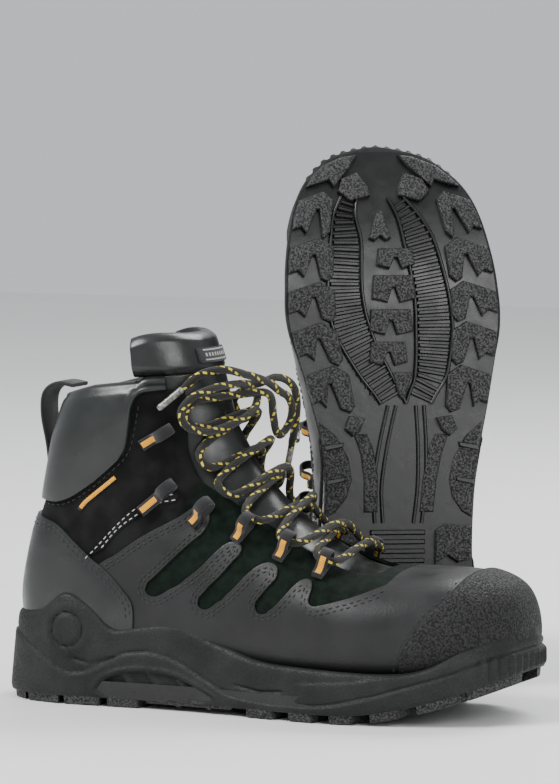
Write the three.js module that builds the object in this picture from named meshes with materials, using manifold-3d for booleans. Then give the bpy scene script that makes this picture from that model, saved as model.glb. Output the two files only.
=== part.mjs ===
// A pair of mid-height mountaineering boots with protective toes, in millimetres, +Z up.
// The right boot stands on its sole with its toe towards +X. The left boot, its mirror image, stands
// behind it on the back of its heel and its pull loop, with its sole facing the outer side of the right one.
// The origin is the centre of the pair's bounding box, on the floor.
import * as THREE from "three";
import { mergeVertices } from "three/addons/utils/BufferGeometryUtils.js";
import Module from "manifold-3d";

const wasm = await Module();
wasm.setup();

// Driving dimensions.
const LENGTH = 300; // outsole, heel to toe
const BALL_WIDTH = 116; // outsole, across the ball
const SHAFT_HEIGHT = 182; // floor to the front of the collar's rim
const TREAD_DEPTH = 4.5; // height of the lugs
const OUTSOLE_PLATE = 4.5; // rubber behind the lugs
const TOE_SPRING = 22; // how far the toe end of the sole rises
const SIDEWALL_DRAFT = 0.06; // how much narrower the sidewall is at the top, as a share
const LEATHER = 1.8;
const STIFFENER = 1.5; // toe cap and heel counter
const LINING = 1.6;
const COLLAR_PROUD = 1.5; // how far the padded collar swells outside the leather
const COLLAR_DEPTH = 9; // and how far inside
const TONGUE_THICK = 4;
const TONGUE_SUNK = 1.6; // under the inside of the leather
const TONGUE_TOP_THICK = 6;
const TONGUE_TOP_SUNK = 2.2; // under the last's skin, so that it folds inside the collar
const TONGUE_LAP = 6; // under the leather at the toe end of the throat
const TONGUE_SIDE_GAP = 2; // to the lining and collar on each side
const BUMPER = 2.8;
const THROAT_HALF = 27; // half the gap between the two facings
const TONGUE_HALF = 34;
const LACE = 4.4; // diameter
const TIP_LENGTH = 17;
const TIP_RADIUS = 1.85;
const LOOP_WEBBING = 1.4;
const LOOP_WIDTH = 6;
const EYE_CLEARANCE = 2.1; // round the lace, inside a loop
const PULL_WIDTH = 20;
const PULL_WEBBING = 1.8;
const SHANK = { length: 105, width: 14, thick: 1.5, middle: 122 };
const ARC_STEPS = 4; // to each arc of a loop's eye and each half of a lace's section
const GAP = 0.3; // between pieces that touch
const LIFT_GAP = 1; // round the footbed, which lifts out
const FLEX_GAP = 1.2; // under the tongue's top, which flexes

// Where the left boot stands.
const LEFT_BOOT = { x: 194, y: 74, turn: 28, lean: 6.35 };

const COLOURS = {
  leather: [0x2b2b2c, 0.62],
  gloss: [0x1d2020, 0.35],
  rubber: [0x222323, 0.8],
  webbing: [0x111112, 0.95],
  accent: [0xe99a16, 0.8],
  textile: [0x1a1b1c, 0.95],
  foam: [0x3a3b3d, 0.9],
  plastic: [0x303132, 0.6],
  steel: [0x8d9094, 0.35],
  lace: [0x17170f, 0.9],
  tip: [0x6f6b66, 0.3],
};

// Every list of points below is drawn on a reference boot and scaled to the driving dimensions.
const REFERENCE = { length: 305, width: 116, height: 182, soleTop: 9, toeSpring: 22 };
const kx = LENGTH / REFERENCE.length;
const ky = BALL_WIDTH / REFERENCE.width;
const SOLE_TOP = TREAD_DEPTH + OUTSOLE_PLATE;
const kz = (SHAFT_HEIGHT - SOLE_TOP) / (REFERENCE.height - REFERENCE.soleTop);

// Height of the walking surface above the floor: flat under heel and ball, rising at the toe.
const SPRING_FROM = 215 * kx;
function groundAt(x, spring = TOE_SPRING) {
  return x < SPRING_FROM ? 0 : spring * ((x - SPRING_FROM) / (LENGTH - SPRING_FROM)) ** 1.7;
}

// A side-view point of the reference boot, on this boot: heights scale from the top of the sole.
function scaled(x, z) {
  const overSole = z - REFERENCE.soleTop - groundAt(x * kx, REFERENCE.toeSpring);
  return [x * kx, SOLE_TOP + groundAt(x * kx) + overSole * kz];
}

// The last: each station has the point on the ridge, the point at the sole or back seam, the half
// width, the centre's offset to the inner side, and how square the section is above and below.
const STATIONS = [
  [302, 44, 302, 41, 1.5, 6, 2, 2],
  [301, 55, 301, 34, 13, 6, 2.1, 2.1],
  [297.5, 64.5, 297, 30, 22, 5.5, 2.3, 2.4],
  [291, 71.5, 290, 26.5, 32, 5, 2.3, 2.6],
  [279, 76, 279, 23.5, 41.5, 4, 2.3, 2.8],
  [262, 78, 262, 21, 48.5, 2.5, 2.3, 3],
  [237, 78, 237, 19.5, 53, 1, 2.2, 3.3],
  [214, 81, 208, 18.5, 53.5, 0, 2.1, 3.5],
  [193, 91, 176, 18.5, 49.5, -1, 2, 3.5],
  [174, 105, 138, 20, 44, -2, 1.95, 3.4],
  [159, 119, 92, 21.5, 40, -2, 1.95, 3.4],
  [148, 131, 50, 23.5, 38, -1, 2, 3.4],
  [141, 141, 18, 28, 36.5, 0, 2.1, 3.2],
  [135, 151, 9, 52, 35.5, 0, 2.2, 2.9],
  [131, 161, 14, 86, 35.5, 0, 2.3, 2.6],
  [127, 171, 24, 118, 36.5, 0, 2.3, 2.4],
  [124, 180, 31, 146, 37.5, 0, 2.3, 2.3],
  [121, 190, 36, 170, 38, 0, 2.3, 2.3],
  [114, 205, 41, 190, 37, 0, 2.3, 2.3],
  [101, 224, 48, 212, 34, 0, 2.3, 2.3],
];
const TOP = STATIONS.length - 1;
const AROUND = 16; // points round a section
const ROWS = 17; // sections along the last

const last = {
  ridge: new THREE.SplineCurve(STATIONS.map((s) => new THREE.Vector2(...scaled(s[0], s[1])))),
  base: new THREE.SplineCurve(STATIONS.map((s) => new THREE.Vector2(...scaled(s[2], s[3])))),
  width: new THREE.SplineCurve(STATIONS.map((s) => new THREE.Vector2(s[4] * ky, s[5] * ky))),
  square: new THREE.SplineCurve(STATIONS.map((s) => new THREE.Vector2(s[6], s[7]))),
};

// A point of the last's skin: station from 0 at the toe to 1 at the top, angle from 0 at the ridge,
// negative to the outer side.
function lastPoint(station, angle) {
  const ridge = last.ridge.getPoint(station);
  const base = last.base.getPoint(station);
  const width = last.width.getPoint(station);
  const square = last.square.getPoint(station);
  const c = Math.cos(angle);
  const s = Math.sin(angle);
  const power = 2 / (c > 0 ? square.x : square.y);
  const along = Math.sign(c) * Math.abs(c) ** power;
  const aside = Math.sign(s) * Math.abs(s) ** power;
  return new THREE.Vector3(
    (ridge.x + base.x) / 2 + ((ridge.x - base.x) / 2) * along,
    width.y + width.x * aside,
    (ridge.y + base.y) / 2 + ((ridge.y - base.y) / 2) * along,
  );
}

function lastNormal(station, angle) {
  const step = 0.004;
  const tilt = 0.06;
  const before = lastPoint(Math.max(0, station - step), angle);
  const along = lastPoint(Math.min(1, station + step), angle).sub(before);
  const across = lastPoint(station, angle + tilt).sub(lastPoint(station, angle - tilt));
  return across.cross(along).normalize();
}

// A point at a distance across the skin from the ridge (negative outwards) and a height above it.
function onLast(station, across, height) {
  let angle = 0;
  let before = lastPoint(station, 0);
  let travelled = 0;
  const step = Math.sign(across) * 0.02;
  while (travelled < Math.abs(across)) {
    angle += step;
    const next = lastPoint(station, angle);
    travelled += next.distanceTo(before);
    before = next;
  }
  return before.addScaledVector(lastNormal(station, angle), height);
}

// --- solids -------------------------------------------------------------------------------------

function toSolid(geometry) {
  const bare = geometry.clone();
  bare.deleteAttribute("normal");
  bare.deleteAttribute("uv");
  const merged = mergeVertices(bare, 1e-4);
  return new wasm.Manifold(
    new wasm.Mesh({
      numProp: 3,
      vertProperties: new Float32Array(merged.attributes.position.array),
      triVerts: new Uint32Array(merged.index.array),
    }),
  );
}

function toGeometry(solid) {
  const mesh = solid.getMesh();
  const geometry = new THREE.BufferGeometry();
  geometry.setAttribute("position", new THREE.BufferAttribute(mesh.vertProperties, 3));
  geometry.setIndex(new THREE.BufferAttribute(mesh.triVerts, 1));
  geometry.computeVertexNormals();
  return geometry;
}

// The largest of a solid's separate bodies, which drops slivers left by a cut.
function mainBody(solid) {
  return solid.decompose().sort((a, b) => b.volume() - a.volume())[0];
}

// The last as a closed solid, grown outwards by an offset.
function lastSolid(offset) {
  const positions = [];
  const index = [];
  for (let row = 0; row <= ROWS; row++) {
    for (let i = 0; i < AROUND; i++) {
      const point = lastPoint(row / ROWS, (i / AROUND) * 2 * Math.PI);
      positions.push(point.x, point.y, point.z);
    }
  }
  const toe = positions.length / 3;
  positions.push(...lastPoint(0, 0).lerp(lastPoint(0, Math.PI), 0.5).toArray());
  const crown = toe + 1;
  positions.push(...lastPoint(1, 0).lerp(lastPoint(1, Math.PI), 0.5).toArray());
  for (let i = 0; i < AROUND; i++) {
    const next = (i + 1) % AROUND;
    index.push(toe, next, i);
    index.push(crown, ROWS * AROUND + i, ROWS * AROUND + next);
    for (let row = 0; row < ROWS; row++) {
      const a = row * AROUND + i;
      const b = row * AROUND + next;
      index.push(a, b, a + AROUND, b, b + AROUND, a + AROUND);
    }
  }
  const geometry = new THREE.BufferGeometry();
  geometry.setAttribute("position", new THREE.Float32BufferAttribute(positions, 3));
  geometry.setIndex(index);
  geometry.computeVertexNormals();
  const at = geometry.attributes.position;
  const normal = geometry.attributes.normal;
  for (let i = 0; i < at.count; i++) {
    at.setXYZ(
      i,
      at.getX(i) + normal.getX(i) * offset,
      at.getY(i) + normal.getY(i) * offset,
      at.getZ(i) + normal.getZ(i) * offset,
    );
  }
  return toSolid(geometry);
}

const grown = new Map();
function skin(offset) {
  if (!grown.has(offset)) grown.set(offset, lastSolid(offset));
  return grown.get(offset);
}

function shell(outer, inner) {
  return skin(outer).subtract(skin(inner));
}

// A side-view outline of [x, z] points, extruded across the boot between two widths.
function sideCut(points, yLow = -BALL_WIDTH, yHigh = BALL_WIDTH) {
  const outline = new THREE.Shape(points.map(([x, z]) => new THREE.Vector2(x, z)));
  const geometry = new THREE.ExtrudeGeometry(outline, { depth: yHigh - yLow, bevelEnabled: false });
  geometry.rotateX(Math.PI / 2);
  geometry.translate(0, yHigh, 0);
  return toSolid(geometry);
}

function onShaft(points) {
  return points.map(([x, z]) => scaled(x, z));
}

// --- the sole -----------------------------------------------------------------------------------

// Footprint: distance from the heel, centre's offset to the inner side, half width.
const FOOTPRINT = [
  [0, 0, 0],
  [4, 0, 20],
  [14, 0, 33],
  [35, 0, 41.5],
  [60, -0.5, 42.5],
  [95, -2, 42],
  [130, -4, 43],
  [165, -3.5, 50],
  [203, -1, 58],
  [227, 0, 58],
  [247, 1, 55.8],
  [267, 2, 51.5],
  [281, 3, 45.5],
  [292, 4.5, 36.5],
  [300, 5.5, 25],
  [305, 6.5, 6],
];
const FOOTPRINT_STEPS = 34;

function footprintShape() {
  const side = (sign) =>
    FOOTPRINT.map(([x, centre, half]) => new THREE.Vector2(x * kx, (centre + sign * half) * ky));
  const loop = [...side(-1), ...side(1).slice(1).reverse()];
  const curve = new THREE.SplineCurve([...loop, loop[0]]);
  return new THREE.Shape(curve.getPoints(FOOTPRINT_STEPS).slice(0, -1));
}

// The footprint as a block between two heights, drawn in towards the top by the sidewall's draft,
// which leaves the toe end upright.
function footprintBlock(low, high, draft = 0) {
  const geometry = new THREE.ExtrudeGeometry(footprintShape(), { depth: high - low, bevelEnabled: false });
  const at = geometry.attributes.position;
  for (let i = 0; i < at.count; i++) {
    const drawn = (draft * at.getZ(i)) / (high - low);
    const x = at.getX(i) + (LENGTH - at.getX(i)) * drawn * 0.3;
    at.setXY(i, x, at.getY(i) * (1 - drawn));
  }
  geometry.translate(0, 0, low);
  return toSolid(geometry);
}

// Side-view points that follow the walking surface at a height above it, from heel to toe.
const SPRING_STEPS = 8;
const PAST_END = 6; // how far side-view cuts run past the boot's ends
function groundLine(lift) {
  const line = [[-PAST_END, lift]];
  for (let i = 0; i <= SPRING_STEPS; i++) {
    const x = SPRING_FROM + ((LENGTH + PAST_END - SPRING_FROM) * i) / SPRING_STEPS;
    line.push([x, groundAt(x) + lift]);
  }
  return line;
}

// A side-view band that follows the walking surface between two heights above it.
function treadBand(low, high) {
  return sideCut([...groundLine(low), ...groundLine(high).reverse()]);
}

// The heel's lower back edge, cut away at a slant.
const HEEL_BEVEL = [
  [-10, -1],
  [12, -1],
  [1, 24],
  [-10, 24],
];

// Grooves between the lugs: distance from the heel, how far aside, length, width, turn in degrees.
const WAIST = [122, 0, 52, 136, 0]; // no lugs under the arch
const MIDDLE_GROOVES = [180, 204, 228, 252].map((x) => [x, 0, 6, 34, 0]);
const SIDE_GROOVES = [
  [213.5, 23, 116, 10, -3],
  [46, 14, 122, 7, 0],
  [30, 36, 6, 44, 17],
  [62, 36, 6, 44, -17],
  ...[167, 194, 221, 248, 275].map((x) => [x, 44, 7, 50, 20]),
];
const GROOVE_HEIGHT = 60;

function grooveBar([x, aside, length, width, turn], side = 1) {
  const bar = new THREE.BoxGeometry(length * kx, width * ky, GROOVE_HEIGHT);
  bar.rotateZ(THREE.MathUtils.degToRad(side * turn));
  bar.translate(x * kx, side * aside * ky, 0);
  return toSolid(bar);
}

function makeOutsole() {
  const outline = footprintBlock(-1, GROOVE_HEIGHT);
  const plate = outline.intersect(treadBand(TREAD_DEPTH, SOLE_TOP - GAP));
  let lugs = outline.intersect(treadBand(0, TREAD_DEPTH + GAP));
  for (const groove of [WAIST, ...MIDDLE_GROOVES]) {
    lugs = lugs.subtract(grooveBar(groove));
  }
  for (const groove of SIDE_GROOVES) {
    lugs = lugs.subtract(grooveBar(groove, -1)).subtract(grooveBar(groove, 1));
  }
  return plate.add(lugs).subtract(sideCut(HEEL_BEVEL));
}

// Top edge of the sidewall from heel to toe.
const SIDEWALL_TOP = [
  [-6, 50],
  [8, 48],
  [24, 50],
  [40, 60],
  [56, 54],
  [72, 42],
  [90, 44],
  [112, 46],
  [136, 38],
  [166, 30],
  [200, 28],
  [240, 27],
  [262, 30],
  [284, 41],
  [311, 52],
];

const SIDEWALL_STEPS = 24;

function sidewallTop() {
  const curve = new THREE.SplineCurve(onShaft(SIDEWALL_TOP).map(([x, z]) => new THREE.Vector2(x, z)));
  return curve.getPoints(SIDEWALL_STEPS).map((p) => [p.x, p.y]);
}

// The shank lies in a slot in the midsole's underside, on the outsole.
function shankBar(gap) {
  const { length, width, thick, middle } = SHANK;
  const low = SOLE_TOP - 2 * gap;
  const high = SOLE_TOP + thick + 2 * gap;
  const bar = new THREE.BoxGeometry(length + 2 * gap, width + 2 * gap, high - low);
  bar.translate(middle * kx, 0, (low + high) / 2);
  return toSolid(bar);
}

function makeMidsole() {
  const profile = [...groundLine(SOLE_TOP), ...sidewallTop().reverse()];
  const block = footprintBlock(0, GROOVE_HEIGHT, SIDEWALL_DRAFT).intersect(sideCut(profile));
  return mainBody(block.subtract(skin(GAP)).subtract(shankBar(GAP)).subtract(sideCut(HEEL_BEVEL)));
}

// --- the upper ----------------------------------------------------------------------------------

const RIM = onShaft([
  [-20, 168],
  [34, 168],
  [60, 174],
  [100, 178],
  [124, 181],
  [160, 181],
]);
const BACK_SEAM = onShaft([
  [8, 129],
  [26, 129],
  [52, 118.5],
  [84, 146],
  [86, 166],
  [101, 172],
  [126, 172],
]);
const HEEL_SEAM = onShaft([
  [-20, 107],
  [17, 105],
  [64, 83],
  [83, 67],
  [90, 57],
  [90, 10],
  [-20, 10],
]);
const THROAT_TOE = 226 * kx;

// The space above an outline of side-view points.
const OVER_TOP = scaled(0, 300)[1]; // clear above the boot
function above(points) {
  return sideCut([...points, [points.at(-1)[0], OVER_TOP], [points[0][0], OVER_TOP]]);
}

function belowRim(solid, drop = 0) {
  return solid.subtract(above(RIM.map(([x, z]) => [x, z - drop])));
}

// The strip along the ridge from the toe end of the throat to the top, within a half width.
const THROAT_DEPTH = 26; // below and behind the ridge
const THROAT_STEPS = 12;
function throat(half, toe) {
  const points = [];
  for (let i = THROAT_STEPS; i >= 0; i--) {
    const ridge = last.ridge.getPoint(i / THROAT_STEPS);
    if (ridge.x < toe - 2) points.push([ridge.x - THROAT_DEPTH, ridge.y - THROAT_DEPTH]);
  }
  const bottom = [toe, points.at(-1)[1]];
  return sideCut([...points, bottom, [toe, OVER_TOP], [points[0][0], OVER_TOP]], -half, half);
}

function collarRegion(gap = 0) {
  const seam = BACK_SEAM.map(([x, z]) => [x, z + gap]);
  return above([[-BALL_WIDTH, seam[0][1]], ...seam, [LENGTH, seam.at(-1)[1]]]);
}

function heelRegion(gap) {
  const middle = new THREE.Vector2(...scaled(30, 50));
  const outline = HEEL_SEAM.map(([x, z]) => {
    return [x + Math.sign(x - middle.x) * gap, z + Math.sign(z - middle.y) * gap];
  });
  return sideCut(outline);
}

function makeVamp() {
  const leather = shell(0, -LEATHER).subtract(heelRegion(GAP)).subtract(collarRegion());
  return mainBody(leather.subtract(throat(THROAT_HALF, THROAT_TOE)));
}

function makeHeelPanel() {
  return mainBody(shell(0, -LEATHER).intersect(heelRegion(0)));
}

function makeCollar() {
  const pad = belowRim(shell(COLLAR_PROUD, -COLLAR_DEPTH)).intersect(collarRegion(GAP));
  return mainBody(pad.subtract(throat(TONGUE_HALF + TONGUE_SIDE_GAP, THROAT_TOE)));
}

// How far inside the last's skin the hidden layers lie.
const STIFFENER_OUT = -LEATHER - GAP;
const LINING_OUT = STIFFENER_OUT - STIFFENER - GAP;
const INSIDE = LINING_OUT - LINING;

function makeToeCap() {
  const front = onShaft([
    [250, 34],
    [256, 100],
    [320, 100],
    [320, 34],
  ]);
  return mainBody(shell(STIFFENER_OUT, STIFFENER_OUT - STIFFENER).intersect(sideCut(front)));
}

function makeHeelCounter() {
  const back = onShaft([
    [-20, 32],
    [66, 32],
    [58, 62],
    [30, 84],
    [-20, 84],
  ]);
  return mainBody(shell(STIFFENER_OUT, STIFFENER_OUT - STIFFENER).intersect(sideCut(back)));
}

function makeLining() {
  const bootie = shell(LINING_OUT, INSIDE).subtract(collarRegion(-GAP));
  const slit = throat(TONGUE_HALF + TONGUE_SIDE_GAP, THROAT_TOE + TONGUE_LAP + TONGUE_SIDE_GAP);
  return mainBody(bootie.subtract(slit));
}

function makeTongue() {
  const out = -LEATHER - TONGUE_SUNK;
  const pad = belowRim(shell(out, out - TONGUE_THICK), FLEX_GAP);
  return mainBody(pad.intersect(throat(TONGUE_HALF, THROAT_TOE + TONGUE_LAP)));
}

// The padded flap above the rim, inside the collar, arched to the sides and leaning back.
const TONGUE_DOME = { x: 116, z: 178, reach: 44, height: 26, steps: 16 };

function makeTongueTop() {
  const { x, z, reach, height, steps } = TONGUE_DOME;
  const arch = new THREE.EllipseCurve(...scaled(x, z), reach * kx, height * kz, 0, Math.PI);
  const dome = sideCut(arch.getPoints(steps).map((p) => [p.x, p.y]));
  const rim = above(RIM.map(([x, z]) => [x, z + GAP]));
  const pad = shell(-TONGUE_TOP_SUNK, -TONGUE_TOP_SUNK - TONGUE_TOP_THICK);
  return mainBody(pad.intersect(dome).intersect(rim));
}

const LABEL = { low: 186, high: 194, half: 17, thick: 0.6 };

function makeTongueLabel() {
  const { low, high, half, thick } = LABEL;
  const outline = onShaft([
    [90, low],
    [150, low],
    [150, high],
    [90, high],
  ]);
  const inner = GAP - TONGUE_TOP_SUNK;
  return mainBody(shell(inner + thick, inner).intersect(sideCut(outline, -half * ky, half * ky)));
}

function makeFootbed() {
  const slab = onShaft([
    [-20, 42],
    [40, 37],
    [110, 33],
    [200, 29],
    [250, 30],
    [286, 35],
    [286, 0],
    [-20, 0],
  ]);
  return mainBody(skin(INSIDE - LIFT_GAP).intersect(sideCut(slab)));
}

function makeToeBumper() {
  const cap = onShaft([
    [262, 26],
    [265, 42],
    [272, 57],
    [284, 74],
    [284, 100],
    [330, 100],
    [330, 26],
  ]);
  const edge = sidewallTop().map(([x, z]) => [x, z + GAP]);
  const foot = sideCut([...edge, [edge.at(-1)[0], 0], [edge[0][0], 0]]);
  return mainBody(shell(BUMPER, GAP).intersect(sideCut(cap)).subtract(foot));
}

// The pull loop: webbing sewn on below the collar's back, arched out and in over the rim.
// Its middle line, measured from the rim's back.
const PULL_PATH = [
  [-10.7, -47],
  [-12.7, -30],
  [-15.8, -14],
  [-14.7, -2],
  [-7.1, 3.5],
  [3, 2.5],
];
const PULL_STEPS = 14;

function makePullLoop() {
  const [rimX, rimZ] = RIM[1];
  const points = PULL_PATH.map(([x, z]) => new THREE.Vector2(rimX + x * kx, rimZ + z * kz));
  const path = new THREE.SplineCurve(points);
  const edge = (offset) =>
    path.getPoints(PULL_STEPS).map((p, i) => {
      const tangent = path.getTangent(i / PULL_STEPS);
      return [p.x - offset * tangent.y, p.y + offset * tangent.x];
    });
  const half = PULL_WEBBING / 2;
  return sideCut([...edge(-half), ...edge(half).reverse()], -PULL_WIDTH / 2, PULL_WIDTH / 2);
}

// --- loops and lace -----------------------------------------------------------------------------

// Stations of the six pairs of loops from toe to rim, and each strap's length.
const LOOPS = [
  { at: 7.7, strap: 11 },
  { at: 8.7, strap: 11 },
  { at: 9.75, strap: 11 },
  { at: 10.95, strap: 12 },
  { at: 12.5, strap: 20 },
  { at: 14.4, strap: 15 },
];
const LOOP_INSET = 5; // from the facing's edge to the middle of the eye
const SEAT_LENGTH = 6; // over which a strap lies flat on the facing
const EYE_ACROSS = THROAT_HALF + LOOP_INSET;
const EYE_RADIUS = LACE / 2 + EYE_CLEARANCE;
const EYE_HEIGHT = GAP + LOOP_WEBBING + EYE_RADIUS;

// Position and axes of a loop: strap runs towards the ridge, the lace runs along it, lift is outward.
function loopFrame(at, side) {
  const station = at / TOP;
  const centre = onLast(station, side * EYE_ACROSS, EYE_HEIGHT);
  const seat = onLast(station, side * EYE_ACROSS, 0);
  const foot = onLast(station, side * (EYE_ACROSS + SEAT_LENGTH), 0);
  const lift = centre.clone().sub(seat).normalize();
  const strap = seat.sub(foot).normalize();
  strap.addScaledVector(lift, -strap.dot(lift)).normalize();
  const along = new THREE.Vector3().crossVectors(lift, strap);
  return { centre, strap, along, lift };
}

function makeLoop({ at, strap: length }, side) {
  const outer = EYE_RADIUS + LOOP_WEBBING;
  const folded = 2 * LOOP_WEBBING;
  const outline = new THREE.Shape();
  outline.moveTo(-length, -outer);
  outline.lineTo(0, -outer);
  outline.absarc(0, 0, outer, -Math.PI / 2, Math.PI * 0.8, false);
  outline.lineTo(-outer * 1.5, -outer + folded);
  outline.lineTo(-length, -outer + folded);
  const eye = new THREE.Path();
  eye.absarc(0, 0, EYE_RADIUS, 0, 2 * Math.PI, true);
  outline.holes.push(eye);
  const geometry = new THREE.ExtrudeGeometry(outline, {
    depth: LOOP_WIDTH,
    bevelEnabled: false,
    curveSegments: ARC_STEPS,
  });
  geometry.translate(0, 0, -LOOP_WIDTH / 2);
  const { centre, strap, lift } = loopFrame(at, side);
  const across = new THREE.Vector3().crossVectors(strap, lift);
  geometry.applyMatrix4(new THREE.Matrix4().makeBasis(strap, lift, across).setPosition(centre));
  return mainBody(toSolid(geometry).subtract(skin(GAP)));
}

// The lace, on the right boot, from the tip of its outer end to the tip of its inner end: through the
// knot into a bow, down through one loop of each pair, across at the bottom, and up through the others.
// Its eyes: x, outer y, inner y, z, and the slope of the facing there, in degrees.
const EYES = [
  [199.6, -35, 33.5, 85.3, 18],
  [177.5, -35.5, 32, 94.6, 22],
  [156.2, -34, 30, 106.4, 30],
  [138.3, -31.3, 29.2, 119.7, 40],
  [125.6, -29.7, 29.8, 134.7, 52],
  [118.3, -31.5, 31.5, 156.9, 65],
];
// Where the two runs cross between the pairs: x and z of the upper one, then of the lower one.
const CROSSINGS = [
  [194.7, 101, 191.1, 96.5],
  [176.9, 115, 172.8, 110.5],
  [161.7, 130, 157.6, 125.5],
  [152, 144.5, 145.4, 139.5],
  [143.9, 160, 138.8, 157.5],
];
const BOTTOM_RUN = [
  [208.4, -18, 88],
  [209.9, 0, 91],
  [208.4, 17, 88],
];
const OUTER_END_AND_INNER_BOW = [
  [114.9, -34, 173],
  [123, -29, 180.5],
  [133.2, -22, 183],
  [142.8, -12, 180],
  [150, 0, 175.5],
  [152.5, 12, 169.5],
  [153.5, 22, 165.5],
  [152.5, 29.5, 158],
  [149.4, 32, 150],
  [146.9, 27, 144.5],
  [147.9, 18, 147],
  [150, 9, 156],
  [151, 0, 169],
  [138.3, -12, 169],
  [126.6, -23, 167.5],
  [119.5, -29.5, 165.5],
];
const INNER_END_AND_OUTER_BOW = [
  [146.4, 42, 136],
  [149.4, 41, 149],
  [152.5, 36, 162],
  [154, 26, 172],
  [150.5, 13, 177],
  [143.9, 0, 174],
  [139.3, -14, 175],
  [131.2, -28, 173.5],
  [122, -38, 168.5],
  [117.9, -43, 161],
  [121, -43, 154],
  [129.1, -35, 150.5],
  [139.3, -22, 154],
  [145.9, -10, 160.5],
  [144.4, 0, 166.5],
  [135.2, 13, 168.5],
  [126.1, 23, 168],
  [119.5, 29.5, 165.5],
];

function onBoot([x, y, z]) {
  const [along, high] = scaled(x, z);
  return new THREE.Vector3(along, y * ky, high);
}

// The two ends of the lace's straight stretch through an eye, going up or down the boot.
const PAST_LOOP = 1.8; // how far the straight stretch runs past the webbing
function throughEye(i, side, way) {
  const [x, outer, inner, z, slope] = EYES[i];
  const reach = LOOP_WIDTH / 2 + PAST_LOOP;
  const turn = THREE.MathUtils.degToRad(slope);
  return [-way, way].map((end) => [
    x - end * reach * Math.cos(turn),
    side < 0 ? outer : inner,
    z + end * reach * Math.sin(turn),
  ]);
}

function laceRoute() {
  const top = EYES.length - 1;
  const route = [...OUTER_END_AND_INNER_BOW];
  let side = -1;
  for (let i = top; i >= 0; i--) {
    route.push(...throughEye(i, side, -1));
    if (i > 0) route.push([CROSSINGS[i - 1][0], 0, CROSSINGS[i - 1][1]]);
    side = -side;
  }
  route.push(...(side < 0 ? [...BOTTOM_RUN].reverse() : BOTTOM_RUN));
  for (let i = 0; i <= top; i++) {
    route.push(...throughEye(i, side, 1));
    if (i < top) route.push([CROSSINGS[i][2], 0, CROSSINGS[i][3]]);
    side = -side;
  }
  route.push(...[...INNER_END_AND_OUTER_BOW].reverse());
  return route.map(onBoot);
}

// A path with one step to each of its points.
class Route extends THREE.CatmullRomCurve3 {
  getPointAt(share, target) {
    return this.getPoint(share, target);
  }

  getTangentAt(share, target) {
    return this.getTangent(share, target);
  }
}

function tube(points, radius) {
  const section = new THREE.Shape();
  section.absarc(0, 0, radius, 0, 2 * Math.PI, false);
  return new THREE.ExtrudeGeometry(section, {
    steps: points.length - 1,
    extrudePath: new Route(points),
    curveSegments: ARC_STEPS,
  });
}

// The hard tip on an end of the lace, along its last stretch.
function makeLaceTip(points) {
  const [end, before] = points.map(onBoot);
  const direction = end.clone().sub(before).normalize();
  const start = end.clone().addScaledVector(direction, GAP);
  return tube([start, start.clone().addScaledVector(direction, TIP_LENGTH)], TIP_RADIUS);
}

// --- the pair -----------------------------------------------------------------------------------

const SIDES = [
  ["outer", -1],
  ["inner", 1],
];

// Every piece of one boot: name, geometry, material.
function bootPieces() {
  const pieces = [
    ["outsole", toGeometry(makeOutsole()), "rubber"],
    ["midsole", toGeometry(makeMidsole()), "rubber"],
    ["shank", toGeometry(shankBar(0)), "steel"],
    ["toe_bumper", toGeometry(makeToeBumper()), "rubber"],
    ["vamp", toGeometry(makeVamp()), "leather"],
    ["heel_panel", toGeometry(makeHeelPanel()), "leather"],
    ["collar", toGeometry(makeCollar()), "gloss"],
    ["toe_cap", toGeometry(makeToeCap()), "plastic"],
    ["heel_counter", toGeometry(makeHeelCounter()), "plastic"],
    ["lining", toGeometry(makeLining()), "textile"],
    ["footbed", toGeometry(makeFootbed()), "foam"],
    ["tongue", toGeometry(makeTongue()), "textile"],
    ["tongue_top", toGeometry(makeTongueTop()), "gloss"],
    ["tongue_label", toGeometry(makeTongueLabel()), "webbing"],
    ["pull_loop", toGeometry(makePullLoop()), "webbing"],
    ["lace", tube(laceRoute(), LACE / 2), "lace"],
    ["lace_tip_outer", makeLaceTip(OUTER_END_AND_INNER_BOW), "tip"],
    ["lace_tip_inner", makeLaceTip(INNER_END_AND_OUTER_BOW), "tip"],
  ];
  for (const [name, side] of SIDES) {
    LOOPS.forEach((loop, i) => {
      pieces.push([`lace_loop_${name}_${i + 1}`, toGeometry(makeLoop(loop, side)), "accent"]);
    });
  }
  return pieces;
}

const materials = Object.fromEntries(
  Object.entries(COLOURS).map(([name, [color, roughness]]) => [
    name,
    new THREE.MeshStandardMaterial({ name, color, roughness, metalness: name === "steel" ? 1 : 0 }),
  ]),
);

function makeBoot(side, pieces) {
  const boot = new THREE.Group();
  boot.name = `${side}_boot`;
  for (const [name, geometry, material] of pieces) {
    const mesh = new THREE.Mesh(geometry, materials[material]);
    mesh.name = `${side}_${name}`;
    boot.add(mesh);
  }
  return boot;
}

const pieces = bootPieces();
const right = makeBoot("right", pieces);
const left = makeBoot("left", pieces);
left.scale.y = -1;

// Toe up, then leaned back on to the pull loop, then turned about the vertical.
const stand = new THREE.Group();
stand.add(left);
left.rotation.y = -Math.PI / 2 - THREE.MathUtils.degToRad(LEFT_BOOT.lean);
stand.rotation.z = THREE.MathUtils.degToRad(LEFT_BOOT.turn - 90);
stand.position.set(LEFT_BOOT.x, LEFT_BOOT.y, 0);
stand.updateMatrixWorld(true);
stand.position.z = -new THREE.Box3().setFromObject(stand, true).min.z;

const pair = new THREE.Group();
pair.add(right, stand);
pair.updateMatrixWorld(true);
const extent = new THREE.Box3().setFromObject(pair, true);
const centre = extent.getCenter(new THREE.Vector3());
const origin = new THREE.Vector3(centre.x, centre.y, extent.min.z);
right.position.sub(origin);
stand.position.sub(origin);

export default pair;
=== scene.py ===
from math import radians

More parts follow.
